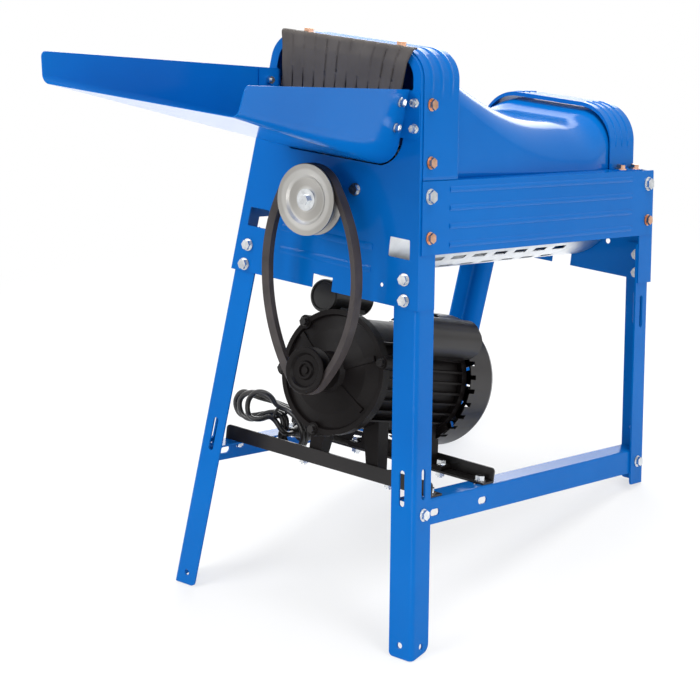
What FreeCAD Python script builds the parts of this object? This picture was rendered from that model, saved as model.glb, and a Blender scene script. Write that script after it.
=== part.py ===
import FreeCAD, Part
import math
import os

# A corn sheller: ears slide down a feed tray into a hood, a toothed drum strips them against a
# trough, and bare cobs leave under an arch at the far end.  A motor below turns the drum by a belt.
# Millimetres.  Everything is drawn with the drum level and then leaned back onto its feet:
# +X to the right of the pulley end, +Y along the drum away from the pulleys, +Z up.
# The drawing origin is the middle of the front plate's lower edge, on its front face.

# Body
body_length = 640.0            # front face of the front plate to rear face of the rear plate
plate_half_width = 170.0       # at the lower edge
side_lean = 6.7                # degrees that each side leans inwards
hood_height = 353.0
hood_corner = 42.0
plate_sheet = 2.0
plate_flange = 40.0
arch_flange = 24.0             # the flange's depth above the side rails
sheet_gap = 0.3                # between bolted layers of sheet

# Openings in the front plate
mouth_rim = 13.0
mouth_top_rim = 10.0
mouth_bottom = 190.0
mouth_low_corner = 24.0
window_inner = 109.0
window_width = 38.0
window_low = 68.0
window_high = 95.5
notch_width = 36.0
notch_height = 20.0
plate_hole_x = 104.0
plate_hole_z = 26.0
plate_hole_radius = 3.0
bead_half_length = 82.0
bead_heights = (44.0, 76.0)
bead_radius = 12.0
bead_rise = 1.2

# Ribbed side rails
rail_bottom = 76.0
rail_top = 178.0
rail_sheet = 2.0
rail_flange = 38.0
rail_end_gap = 5.0
rail_rib_count = 4
rail_rib_radius = 6.0
rail_rib_rise = 2.0
rail_rib_start = 70.0

# Hoods and cover
hood_sheet = 1.5
front_hood_front = 6.0
front_hood_rear = 124.0
rear_hood_width = 72.0
rear_hood_inset = 28.0         # from the rear plate's back face
rear_hood_front = body_length - rear_hood_inset - rear_hood_width
rear_hood_half_width = 127.0   # where it stands on the rails
rear_hood_height = 275.0
rear_hood_corner = 62.0
rear_hood_lip = 5.0
rear_hood_foot = 20.0
hood_bolt_rise = 25.0           # of the lower bolts above the rails
hood_bolt_drop = 71.0           # of the upper bolts below the hood's top
hood_rib_count = 3
hood_rib_radius = 4.0
hood_rib_rise = 1.6
cover_front = 44.0
cover_flare_run = 40.0          # over which it widens up to the rear hood
cover_valley = 70.0             # length of its low stretch
cover_lap = 32.0                # under the rear hood
cover_flare = rear_hood_front - cover_flare_run
cover_crease = cover_flare - cover_valley
cover_end = rear_hood_front + cover_lap
cover_front_drop = 15.0         # below the front hood
cover_end_drop = 9.0            # below the rear hood
cover_front_height = hood_height - cover_front_drop
cover_low_height = 247.0
cover_end_height = rear_hood_height - cover_end_drop
cover_front_half_width = 143.0
cover_low_half_width = 130.0
cover_end_half_width = 122.5
cover_front_corner = 36.0
cover_low_corner = 44.0
cover_end_corner = 56.0

# Feed tray
tray_length = 416.0
tray_sheet = 1.5
tray_gap = 2.4                 # between the tray's end and the front plate
tray_front_half_width = 167.0
tray_front_top_half_width = 175.0
tray_front_floor = 270.0
tray_front_wall = 41.0
tray_front_corner = 14.0
tray_rear_half_width = 106.0
tray_rear_top_half_width = 117.0
tray_floor_rise = 2.0           # above the mouth's lower edge
tray_rear_drop = 53.0           # of its edge below the hood's top
tray_rear_floor = mouth_bottom + tray_floor_rise
tray_rear_wall = hood_height - tray_rear_drop - tray_rear_floor
tray_rear_corner = 35.0
bracket_sheet = 2.0
bracket_depth = 42.0
bracket_edge = 1.0              # from the front plate's side edge
bracket_length = 66.0
bracket_drop = 54.0             # of its upper end below the hood's top
bracket_bolt_end_low = 15.0     # from its lower end to the lower bolt
bracket_bolt_end_high = 16.0
bracket_gap = 0.25              # between it and the tray's wall
bracket_high = hood_height - bracket_drop
bracket_low = bracket_high - bracket_length

# Rubber curtain
curtain_thickness = 3.0
curtain_fold_drop = 17.0        # from the hood's top down to the hinge line
curtain_foot_rise = 18.0        # above the mouth's lower edge
curtain_hinge = hood_height - curtain_fold_drop
curtain_bottom = mouth_bottom + curtain_foot_rise
curtain_half_width = 106.0
curtain_low_half_width = 94.0
curtain_fold_half_width = 114.0
curtain_slit_count = 10
curtain_uncut = 30.0            # from the hinge line down to the slits
curtain_slit_top = curtain_hinge - curtain_uncut
curtain_stud_x = 82.0
curtain_stud_y = 16.0
curtain_slit_width = 1.6

# Legs and base
leg_flange = 40.0
leg_thickness = 3.0
leg_bend = 7.0
leg_top = 62.0
front_leg_bottom = -494.0
floor_tilt = 15.0              # of the body against the floor, rear end down
leg_corner = 14.0
leg_hole_inset = 22.0          # of holes and slots from the leg's outer edge
leg_foot_hole = 13.0           # of the end hole from the leg's end
leg_hole_radius = 4.5
leg_slot_length = 52.0
leg_slot_gap = 9.0
leg_rear_slot = -46.0
base_top = -269.0
base_height = 36.0
base_flange = 32.0
base_thickness = 2.5
base_slot_length = 22.0
base_slot_starts = (58.0, 178.0)
bar_half_length = 192.0
bar_height = 22.0
bar_flange = 28.0
bar_thickness = 3.0
bar_corner = 6.0
front_bar_y = 52.0
rear_bar_y = 212.0

# Drum, trough and bearings
drum_height = 131.0
drum_front = 62.0
drum_rear_gap = 74.0            # from the rear plate's back face
drum_rear = body_length - drum_rear_gap
drum_tube_radius = 46.0
drum_tube_wall = 4.0
drum_tip_radius = 76.0
tooth_root_radius = 7.0
tooth_tip_radius = 4.5
tooth_start_count = 3
tooth_row_pitch = 24.0
tooth_twist = 34.0             # degrees between one row of teeth and the next
paddle_count = 3
paddle_length = 60.0
paddle_thickness = 5.0
shaft_radius = 12.5
shaft_front = -55.5
shaft_overhang = 28.0           # behind the rear plate
shaft_rear = body_length + shaft_overhang
nose_radius = 10.0             # of the free end behind the rear bearing
nose_length = 24.0
trough_radius = 91.5
trough_centre = 109.0          # height of its round bottom's centre
trough_wall = 1.5
trough_front = 6.0
trough_rear_gap = 4.0
trough_rear = body_length - trough_rear_gap
trough_screw_first = 120.0
trough_screw_last = 160.0       # from the rear plate's back face
trough_flange = 34.0
trough_slot_rows = 6
trough_slot_length = 34.0
trough_slot_width = 9.0
trough_slot_pitch = 56.0
bearing_outer_radius = 26.0
bearing_bore_radius = 20.0
bearing_width = 15.0
housing_radius = 34.0
housing_depth = 20.0
housing_ear_radius = 46.0
housing_angle = 25.0
housing_plate = 7.0

# Rear plate
outlet_sill = rail_top
outlet_half_width = 112.0
rear_hole_x = 83.0
rear_hole_z = 52.0
rear_hole_radius = 4.5

# Belt drive
drum_pulley_radius = 50.0
drum_pulley_front = -58.0
pulley_width = 23.0
groove_depth = 14.0
groove_outer_width = 18.1
groove_inner_width = 8.9
pulley_face_recess = 2.5
motor_pulley_radius = 33.0
belt_width = 16.5
belt_inner_width = 10.0
belt_thickness = 10.5
belt_rise = 1.0                # of its back above the pulley rims
belt_strand_radius = 240.0     # to which each slack strand bows outwards

# Motor
motor_x = 28.0
motor_height = -108.0           # at the middle of its pulley
motor_tilt = 8.0               # of its axis against the drum's, tail down
motor_shaft_radius = 9.5
motor_shaft_front = -47.5
motor_frame_radius = 80.0
motor_fin_radius = 88.0
motor_fin_count = 8
motor_fin_pitch = 16.0
motor_fin_thickness = 3.0
shield_radius = 90.0
shield_front = 12.0
shield_rim = 12.0
shield_rim_rise = 4.0
shield_bulge = 20.0
shield_hub_radius = 26.0
shield_hub_length = 12.0
shield_bolt_angles = (136.0, 188.0, 261.0, 20.0)
shield_bolt_radius = 88.0
shield_lug_radius = 10.0
frame_lug_length = 20.0
shield_rib_angles = (-34.0, 26.0, 146.0, 206.0)
motor_bearing_radius = 20.0
motor_bearing_width = 12.0
motor_race_radius = 15.5
race_gap = 0.4
motor_frame_rear = 214.0
rear_shield_rim = 12.0
rear_lug_count = 4
rear_lug_half = 7.0
fan_cover_radius = 100.0
fan_cover_front = 220.0
fan_cover_length = 70.5
fan_cover_notch = 13.0
fan_cover_wall = 1.5
fan_radius = 76.0
fan_blade_count = 8
cover_vent_count = 30
grille_ring_count = 3
grille_spoke_count = 12
foot_spread = 70.0
foot_width = 36.0
foot_sole = 7.0
foot_length = 24.0
rotor_radius = 47.0
rotor_gap = 0.6
capacitor_box_angle = 42.0
capacitor_box_width = 58.0
capacitor_box_height = 48.0
capacitor_box_front = 84.0
capacitor_box_length = 128.0
start_can_angle = 116.5
start_can_saddle = 2.5
start_can_radius = 24.0
start_can_front = 22.0
start_can_length = 96.0

# Fasteners
bolt_radius = 4.0
hex_size = 13.0
hex_height = 5.5
bolt_flange_radius = 9.0
bolt_flange_height = 1.6
nut_height = 6.5
big_hex = 16.0
small_hex = 10.0
small_radius = 3.0
hole_clearance = 0.4

# Mains lead, folded and tied beside the motor; its outlines are (x, z) and its end is (x, y, z)
lead_radius = 4.0
gland_angle = 215.0
gland_y = 110.0
lead_first_run = 25.0
lead_end = (-124.0, 100.0, -226.0)
hank_y = 100.0
hank_depth = 28.0
hank_loops = ((-138, -226), (-168, -246), (-206, -250), (-222, -236), (-212, -212), (-180, -195),
              (-150, -198), (-128, -206))
hank_tail = ((-117, -221), (-104, -222), (-94, -240), (-98, -262), (-118, -266), (-132, -252),
             (-128, -236))
hank_waist = ((-131, -211), (-117, -225), (-128, -236), (-142, -222))
plug_place = (-114.0, -250.0)

lean = math.radians(side_lean)
X_AXIS = FreeCAD.Vector(1, 0, 0)
Y_AXIS = FreeCAD.Vector(0, 1, 0)
Z_AXIS = FreeCAD.Vector(0, 0, 1)


def vec(x, y, z):
    return FreeCAD.Vector(x, y, z)


def box(x0, x1, y0, y1, z0, z1):
    """Block between two opposite corners."""
    return Part.makeBox(x1 - x0, y1 - y0, z1 - z0, vec(x0, y0, z0))


def rod(start, direction, radius, length):
    """Solid cylinder from a point along a direction."""
    return Part.makeCylinder(radius, length, start, direction)


def fused(shapes):
    """One solid of all the shapes, with its seams cleaned."""
    first, rest = shapes[0], shapes[1:]
    if not rest:
        return first
    return first.fuse(rest).removeSplitter()


def mirrored(shape):
    """The same shape on the other side of the machine."""
    return shape.mirror(vec(0, 0, 0), X_AXIS)


def swapped_end(shape):
    """The same shape at the other end of the body."""
    return shape.mirror(vec(0, body_length / 2, 0), Y_AXIS)


def rounded_wire(points, radii, lift):
    """Closed wire through 2-D points with rounded corners; lift turns a 2-D point into a 3-D one."""
    count = len(points)
    edges = []
    corners = []
    for i in range(count):
        before, here, after = points[i - 1], points[i], points[(i + 1) % count]
        corners.append(rounded_corner(before, here, after, radii[i]))
    for i in range(count):
        start, middle, end = corners[i]
        if middle is not None:
            edges.append(Part.Arc(lift(start), lift(middle), lift(end)).toShape())
        following = corners[(i + 1) % count][0]
        edges.append(Part.makeLine(lift(end), lift(following)))
    return Part.Wire(edges)


def rounded_corner(before, here, after, radius):
    """Start, middle and end of the arc that rounds a corner; the middle is None on a sharp one."""
    if radius <= 0:
        return here, None, here
    to_before = (before[0] - here[0], before[1] - here[1])
    to_after = (after[0] - here[0], after[1] - here[1])
    a = math.hypot(*to_before)
    b = math.hypot(*to_after)
    u = (to_before[0] / a, to_before[1] / a)
    v = (to_after[0] / b, to_after[1] / b)
    half_angle = math.acos(max(-1, min(1, u[0] * v[0] + u[1] * v[1]))) / 2
    reach = radius / math.tan(half_angle)
    start = (here[0] + u[0] * reach, here[1] + u[1] * reach)
    end = (here[0] + v[0] * reach, here[1] + v[1] * reach)
    bisector = (u[0] + v[0], u[1] + v[1])
    size = math.hypot(*bisector)
    depth = radius / math.sin(half_angle) - radius
    middle = (here[0] + bisector[0] / size * depth, here[1] + bisector[1] / size * depth)
    return start, middle, end


def front_view(y):
    """Turns (x, z) points of a front view into points at distance y."""
    return lambda p: vec(p[0], y, p[1])


def side_view(x):
    """Turns (y, z) points of a side view into points at distance x."""
    return lambda p: vec(x, p[0], p[1])


def slab(points, radii, lift, direction):
    """Outline with rounded corners, extruded along a vector."""
    return Part.Face(rounded_wire(points, radii, lift)).extrude(direction)


def half_width(z, inset=0.0):
    """Half the body's width at a height, less an inset measured square to the side."""
    return plate_half_width - z * math.tan(lean) - inset / math.cos(lean)


def body_outline(inset, low, high, corner, y, low_corner=0.0):
    """Closed front-view outline of the leaning sides and the rounded hood."""
    points = [(-half_width(low, inset), low), (half_width(low, inset), low),
              (half_width(high, inset), high), (-half_width(high, inset), high)]
    return rounded_wire(points, [low_corner, low_corner, corner, corner], front_view(y))


def body_prism(inset, low, high, corner, y0, y1, low_corner=0.0):
    """The body's outline as a solid from y0 to y1."""
    face = Part.Face(body_outline(inset, low, high, corner, y0, low_corner))
    return face.extrude(vec(0, y1 - y0, 0))


def on_side(shape):
    """Moves a shape drawn at X = 0 onto the right side, with its Z along the leaning side."""
    moved = shape.copy()
    moved.Placement = FreeCAD.Placement(vec(plate_half_width, 0, 0),
                                        FreeCAD.Rotation(Y_AXIS, -side_lean))
    return moved


def slot_cutter(centre, along, through, length, radius, depth):
    """Rounded slot centred on a point, for cutting a sheet square to its face."""
    along = FreeCAD.Vector(along).normalize()
    through = FreeCAD.Vector(through).normalize()
    half = length / 2 - radius
    a = centre - along * half - through * (depth / 2)
    b = centre + along * half - through * (depth / 2)
    across = through.cross(along)
    corners = [a + across * radius, b + across * radius, b - across * radius, a - across * radius]
    middle = Part.Face(Part.makePolygon(corners + corners[:1])).extrude(through * depth)
    return fused([middle, rod(a, through, radius, depth), rod(b, through, radius, depth)])


# Fasteners

def hexagon(centre, direction, across_flats, height):
    """Hexagonal prism along a direction."""
    corner = across_flats / math.sqrt(3)
    points = [vec(corner * math.cos(math.radians(60 * i)), corner * math.sin(math.radians(60 * i)), 0)
              for i in range(7)]
    prism = Part.Face(Part.makePolygon(points)).extrude(vec(0, 0, height))
    prism.Placement = FreeCAD.Placement(centre, FreeCAD.Rotation(Z_AXIS, direction))
    return prism


def bolt(seat, outwards, grip, size=hex_size, radius=bolt_radius):
    """Flanged hexagon bolt whose head sits on seat, with a nut behind the sheets that it grips."""
    outwards = FreeCAD.Vector(outwards).normalize()
    flange_radius = bolt_flange_radius * size / hex_size
    head = hexagon(seat + outwards * bolt_flange_height, outwards, size, hex_height)
    flange = rod(seat, outwards, flange_radius, bolt_flange_height)
    back = seat - outwards * grip
    shank = rod(back - outwards * (nut_height + 3), outwards, radius, grip + nut_height + 4)
    nut = hexagon(back, -outwards, size, nut_height)
    return fused([head, flange, shank, nut])


def bolt_hole(seat, outwards, depth, radius=bolt_radius):
    """Clearance hole for a bolt, from just outside its seat."""
    outwards = FreeCAD.Vector(outwards).normalize()
    return rod(seat + outwards * 2, -outwards, radius + hole_clearance, depth + 4)


def side_point(z, y, out=0.0):
    """Point on the body's right side at a height, standing out by a distance."""
    return vec(half_width(z, -out), y, z)


side_out = vec(math.cos(lean), 0, math.sin(lean))


# Bolt places, by group: each is a seat and the direction in which the head faces.
plate_bolt_heights = (11.0, 40.0)
plate_bolt_inset = 23.0
rail_bolt_y = 22.0
rail_bolt_heights = (100.0, 157.0)
hood_bolt_heights = (rail_top + hood_bolt_rise, hood_height - hood_bolt_drop)
rear_hood_bolt_inset = 15.0
bracket_bolt_heights = (bracket_low + bracket_bolt_end_low, bracket_high - bracket_bolt_end_high)
bracket_bolt_inset = 8.4


def both_sides(seats):
    """Adds the left-hand twin of each right-hand seat."""
    twins = []
    for point, direction in seats:
        twins.append((point, direction))
        twins.append((vec(-point.x, point.y, point.z), vec(-direction.x, direction.y, direction.z)))
    return twins


def front_plate_seats():
    return both_sides([(vec(half_width(z, plate_bolt_inset), 0, z), -Y_AXIS)
                       for z in plate_bolt_heights])


def rear_plate_seats():
    inner = body_length - plate_sheet - sheet_gap - leg_thickness
    return both_sides([(vec(half_width(z, plate_bolt_inset), inner, z), -Y_AXIS)
                       for z in plate_bolt_heights])


def rail_seats(height):
    ends = (rail_bolt_y, body_length - rail_bolt_y)
    return both_sides([(side_point(height, y, rail_sheet + sheet_gap), side_out) for y in ends])


def hood_seats():
    return both_sides([(side_point(z, rail_bolt_y, hood_sheet + sheet_gap), side_out) for z in hood_bolt_heights])


def rear_hood_seats():
    x = rear_hood_half_width + rear_hood_foot / 2 + 1
    rear = rear_hood_front + rear_hood_width
    ys = (rear_hood_front + rear_hood_bolt_inset, rear - rear_hood_bolt_inset)
    return both_sides([(vec(x, y, rail_top + hood_sheet), Z_AXIS) for y in ys])


def bracket_seats():
    return both_sides([(vec(half_width(z, bracket_bolt_inset), -bracket_sheet, z), -Y_AXIS)
                       for z in bracket_bolt_heights])


def bracket_wall_seats():
    y = -bracket_depth / 2 - 2
    return both_sides([(vec(tray_wall_x(z, y), y, z), tray_wall_out()) for z in bracket_bolt_heights])


def base_seats():
    z = base_top - base_height / 2
    ys = (leg_hole_inset + plate_sheet, body_length - plate_sheet - leg_hole_inset)
    return both_sides([(side_point(z, y, -plate_sheet - sheet_gap), side_out) for y in ys])


def bar_top():
    """Top face of the motor bars' flanges."""
    return base_top + sheet_gap + bar_thickness


def foot_ys():
    """Distances of the bolts along the middles of both bar flanges."""
    return (front_bar_y + bar_flange / 2 + 2, rear_bar_y - bar_flange / 2 - 2)


def bar_seats():
    x = half_width(base_top) - base_flange / 2 - 8
    return both_sides([(vec(x, y, bar_top()), Z_AXIS) for y in foot_ys()])


def foot_seats():
    seats = []
    for side in (-1, 1):
        x = motor_x + side * (foot_spread + foot_width / 4)
        for y in foot_ys():
            seats.append((vec(x, y, bar_top() + sheet_gap + foot_sole), Z_AXIS))
    return seats


def trough_seats():
    x = trough_radius + trough_flange / 2 + 4
    span = body_length - trough_screw_first - trough_screw_last
    ys = [trough_screw_first + i * span / 2 for i in range(3)]
    return both_sides([(vec(x, y, rail_top - rail_sheet - trough_wall - sheet_gap), -Z_AXIS)
                       for y in ys])


def drilled(shape, seats, depth, radius=bolt_radius):
    """Shape with clearance holes under every seat."""
    return shape.cut([bolt_hole(point, direction, depth, radius) for point, direction in seats])


# Front and rear plates

def flanged_plate():
    """Sheet with the body's outline and a flange turned back along its sides and arch."""
    outer = body_prism(0, 0, hood_height, hood_corner, 0, plate_flange)
    inner = body_prism(plate_sheet, -plate_flange, hood_height - plate_sheet,
                       hood_corner - plate_sheet, plate_sheet, plate_flange + 1)
    shallow = box(-plate_half_width, plate_half_width, arch_flange, plate_flange + 1,
                  rail_top, hood_height + 1)
    return outer.cut([inner, shallow])


def stiffening_bead(z):
    """Low rounded ridge pressed across the front plate."""
    axis_y = bead_radius - bead_rise
    ridge = rod(vec(-bead_half_length, axis_y, z), X_AXIS, bead_radius, 2 * bead_half_length)
    return ridge.common(box(-bead_half_length, bead_half_length, -bead_rise, plate_sheet / 2,
                            z - bead_radius, z + bead_radius))


def window(side):
    """Rectangular sight hole low in the front plate."""
    lift = front_view(-5)
    low = window_low * math.tan(lean)
    high = window_high * math.tan(lean)
    outer = window_inner + window_width + low
    points = [(window_inner, window_low), (outer - low, window_low),
              (outer - high, window_high), (window_inner, window_high)]
    cutter = slab(points, [1.5] * 4, lift, vec(0, 20, 0))
    return cutter if side > 0 else mirrored(cutter)


def front_plate():
    mouth = body_prism(mouth_rim, mouth_bottom, hood_height - mouth_top_rim,
                       hood_corner - mouth_top_rim, -5, 15, mouth_low_corner)
    notch = box(-notch_width / 2, notch_width / 2, -5, 15, -1, notch_height)
    shaft_hole = rod(vec(0, -5, drum_height), Y_AXIS, shaft_radius + 4, 20)
    holes = [rod(vec(side * plate_hole_x, -5, plate_hole_z), Y_AXIS, plate_hole_radius, 20)
             for side in (-1, 1)]
    plate = flanged_plate()
    plate = fused([plate] + [stiffening_bead(z) for z in bead_heights])
    plate = plate.cut([mouth, notch, shaft_hole, window(1), window(-1)] + holes)
    plate = drilled(plate, front_plate_seats(), 10)
    plate = drilled(plate, housing_seats(0), 10)
    plate = drilled(plate, bracket_seats(), 10, small_radius)
    plate = drilled(plate, curtain_seats(), 12)
    for height in rail_bolt_heights:
        plate = drilled(plate, rail_seats(height), 10)
    return drilled(plate, hood_seats(), 10)


def rear_plate():
    plate = swapped_end(flanged_plate())
    above = box(-plate_half_width, plate_half_width, body_length - plate_flange - 1, body_length + 1,
                rail_top - rail_sheet - sheet_gap, hood_height + 1)
    notch = box(-notch_width / 2, notch_width / 2, body_length - 10, body_length + 1, -1, notch_height)
    holes = [rod(vec(side * rear_hole_x, body_length - 10, rear_hole_z), Y_AXIS, rear_hole_radius, 20)
             for side in (-1, 1)]
    shaft_hole = rod(vec(0, body_length - 10, drum_height), Y_AXIS, shaft_radius + 4, 20)
    plate = plate.cut([above, notch, shaft_hole] + holes)
    plate = drilled(plate, rear_plate_seats(), 10)
    plate = drilled(plate, housing_seats(body_length), 10)
    for height in rail_bolt_heights:
        plate = drilled(plate, rail_seats(height), 10)
    return plate


# Side rails, hoods and cover

def rail_rib(z):
    """Rounded rib pressed out of a side rail, in the side's own frame."""
    length = body_length - 2 * rail_rib_start
    ridge = rod(vec(rail_sheet + rail_rib_rise - rail_rib_radius, rail_rib_start, z), Y_AXIS,
                rail_rib_radius, length)
    return ridge.common(box(rail_sheet / 2, rail_sheet + rail_rib_rise, rail_rib_start,
                            rail_rib_start + length, z - rail_rib_radius, z + rail_rib_radius))


def side_rail():
    """Ribbed side sheet with a flange turned inwards along its top."""
    low = rail_bottom / math.cos(lean)
    high = rail_top / math.cos(lean)
    start, end = rail_end_gap, body_length - rail_end_gap
    web = box(sheet_gap, sheet_gap + rail_sheet, start, end, low, high)
    step = (high - low) / rail_rib_count
    ribs = [rail_rib(low + step * (i + 0.5)) for i in range(rail_rib_count)]
    side = on_side(fused([web] + ribs))
    x_outer = half_width(rail_top, -sheet_gap - rail_sheet / 2)
    flange = box(x_outer - rail_flange, x_outer, plate_flange + 2, body_length - plate_flange - 2,
                 rail_top - rail_sheet, rail_top)
    trimmed = side.cut(box(0, plate_half_width * 2, 0, body_length, rail_top, hood_height))
    rail = fused([trimmed, flange])
    for height in rail_bolt_heights:
        rail = drilled(rail, rail_seats(height), 10)
    rail = drilled(rail, rear_hood_seats(), 10)
    return drilled(rail, trough_seats(), 10, small_radius)


def corner_rib(centre_x, centre_z, radius, y):
    """Short rounded rib pressed around a hood's corner."""
    torus = Part.makeTorus(radius + hood_rib_rise - hood_rib_radius, hood_rib_radius,
                           vec(centre_x, y, centre_z), Y_AXIS)
    quarter = box(centre_x, centre_x + radius * 2, y - hood_rib_radius, y + hood_rib_radius,
                  centre_z, centre_z + radius * 2)
    return torus.common(quarter)


def hood_ribs(half_flat, top, corner, ys, inner):
    """The ribs over both corners of a hood, without the part inside its sheet."""
    ribs = []
    for y in ys:
        rib = corner_rib(half_flat, top - corner, corner, y).cut(inner)
        ribs += [rib, mirrored(rib)]
    return ribs


def flat_half_width(half, top, corner):
    """Half the straight run at the top of a rounded, leaning arch."""
    half_angle = math.radians(90 + side_lean) / 2
    return half - corner / math.tan(half_angle)


def front_hood():
    """Band over the front plate's arch, from the plate back to the sloping cover."""
    gap = sheet_gap
    corner = hood_corner + gap + hood_sheet
    outer = body_prism(-gap - hood_sheet, rail_top + gap, hood_height + gap + hood_sheet, corner,
                       front_hood_front, front_hood_rear)
    inner = body_prism(-gap, rail_top - 1, hood_height + gap, hood_corner + gap,
                       front_hood_front - 1, front_hood_rear + 1)
    top = hood_height + gap + hood_sheet
    flat = flat_half_width(half_width(top, -gap - hood_sheet), top, corner)
    ys = [front_hood_front + (i + 0.7) * (front_hood_rear - front_hood_front) / (hood_rib_count + 0.4)
          for i in range(hood_rib_count)]
    ribs = hood_ribs(flat, top, corner, ys, inner)
    hood = fused([outer.cut(inner)] + ribs)
    return drilled(drilled(hood, hood_seats(), 10), curtain_seats(), 12)


def arch_prism(half, low, top, corner, y0, y1):
    """Rounded arch with leaning sides as a solid from y0 to y1; half is its half width at rail_top."""
    points = [(-arch_half(half, low), low), (arch_half(half, low), low),
              (arch_half(half, top), top), (-arch_half(half, top), top)]
    return slab(points, [0, 0, corner, corner], front_view(y0), vec(0, y1 - y0, 0))


def arch_half(half, z):
    return half - (z - rail_top) * math.tan(lean)


def rear_hood():
    """Arch over the cob outlet, on feet bolted to the side rails."""
    front, rear = rear_hood_front, rear_hood_front + rear_hood_width
    half, top, corner = rear_hood_half_width, rear_hood_height, rear_hood_corner
    outer = arch_prism(half, rail_top, top, corner, front, rear)
    inner = arch_prism(half - hood_sheet, rail_top - 1, top - hood_sheet, corner - hood_sheet,
                       front + hood_sheet, rear + 1)
    mouth = arch_prism(half - hood_sheet, rail_top - 1, top - hood_sheet - rear_hood_lip,
                       corner - hood_sheet, front - 1, rear)
    flat = flat_half_width(arch_half(half, top), top, corner)
    ys = [front + (i + 1) * rear_hood_width / (hood_rib_count + 1) for i in range(hood_rib_count)]
    ribs = hood_ribs(flat, top, corner, ys, inner)
    foot = slab([(half - hood_sheet, front), (half + rear_hood_foot, front),
                 (half + rear_hood_foot, rear), (half - hood_sheet, rear)], [0, 6, 6, 0],
                lambda p: vec(p[0], p[1], rail_top), vec(0, 0, hood_sheet))
    shell = outer.cut([inner, mouth])
    hood = fused([shell, foot, mirrored(foot)] + ribs)
    return drilled(hood, rear_hood_seats(), 10)


def cover_section(y, half, top, corner, inset):
    """One rounded section of the cover, inset by its sheet for the inner skin."""
    low = rail_top - (1 if inset else 0)
    points = [(-arch_half(half, low) + inset, low), (arch_half(half, low) - inset, low),
              (arch_half(half, top) - inset, top - inset), (-arch_half(half, top) + inset, top - inset)]
    return rounded_wire(points, [0, 0, corner - inset, corner - inset], front_view(y))


def cover_skin(inset):
    """Solid filled to the cover's outer or inner skin, through its four sections."""
    reach = 1 if inset else 0
    stations = [(cover_front - reach, cover_front_half_width, cover_front_height, cover_front_corner),
                (cover_crease, cover_low_half_width, cover_low_height, cover_low_corner),
                (cover_flare, cover_low_half_width - 2, cover_low_height, cover_low_corner),
                (rear_hood_front + 2, cover_end_half_width, cover_end_height, cover_end_corner),
                (cover_end + reach, cover_end_half_width, cover_end_height, cover_end_corner)]
    wires = [cover_section(y, half, top, corner, inset) for y, half, top, corner in stations]
    pieces = [Part.makeLoft([a, b], True, True) for a, b in zip(wires, wires[1:])]
    return fused(pieces)


def drum_cover():
    """Pressed sheet that falls from the front hood to the drum and flares at the cob outlet."""
    shell = cover_skin(0).cut(cover_skin(hood_sheet))
    return shell


# Feed tray

def tray_wall_x(z, y):
    """Outer face of the tray's right wall at a height and a distance."""
    t = -y / (tray_length + tray_gap)
    floor = tray_rear_floor + (tray_front_floor - tray_rear_floor) * t
    low = tray_rear_half_width + (tray_front_half_width - tray_rear_half_width) * t
    high = tray_rear_top_half_width + (tray_front_top_half_width - tray_rear_top_half_width) * t
    wall = tray_rear_wall + (tray_front_wall - tray_rear_wall) * t
    return low + (high - low) * (z - floor) / wall


def tray_wall_out():
    """Direction straight out of the tray's right wall, near the plate."""
    y = -bracket_depth / 2
    rise = tray_wall_x(bracket_high, y) - tray_wall_x(bracket_low, y)
    flare = tray_wall_x(bracket_low, 2 * y) - tray_wall_x(bracket_low, 0)
    along = vec(flare, 2 * y, 0)
    up = vec(rise, 0, bracket_high - bracket_low)
    return up.cross(along).normalize()


def tray_section(y, low_half, high_half, floor, wall, corner, inset):
    """Open-topped section of the tray as a closed outline; the inner one rises above the edge."""
    rise = 2.0 if inset else 0.0
    spread = (high_half - low_half) / wall
    points = [(-low_half + inset, floor + inset), (low_half - inset, floor + inset),
              (high_half - inset + spread * rise, floor + wall + rise),
              (-high_half + inset - spread * rise, floor + wall + rise)]
    radius = corner - inset
    return rounded_wire(points, [radius, radius, 0, 0], front_view(y))


def tray_skin(inset):
    reach = 1.0 if inset else 0.0
    rear = tray_section(-tray_gap + reach, tray_rear_half_width, tray_rear_top_half_width,
                        tray_rear_floor, tray_rear_wall, tray_rear_corner, inset)
    front = tray_section(-tray_gap - tray_length - reach, tray_front_half_width,
                         tray_front_top_half_width, tray_front_floor, tray_front_wall,
                         tray_front_corner, inset)
    return Part.makeLoft([rear, front], True, True)


def feed_tray():
    """Flared open trough whose floor falls towards the mouth."""
    tray = tray_skin(0).cut(tray_skin(tray_sheet))
    end = -tray_gap - tray_length
    corner = 8.0
    trims = []
    top = tray_front_floor + tray_front_wall
    block = box(-tray_front_top_half_width - 5, tray_front_top_half_width + 5,
                end - 1, end + corner, top - corner, top + 5)
    trims.append(block.cut(rod(vec(-tray_front_top_half_width - 5, end + corner, top - corner),
                               X_AXIS, corner, 2 * tray_front_top_half_width + 10)))
    tray = tray.cut(trims)
    return drilled(tray, bracket_wall_seats(), 6, small_radius)


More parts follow.
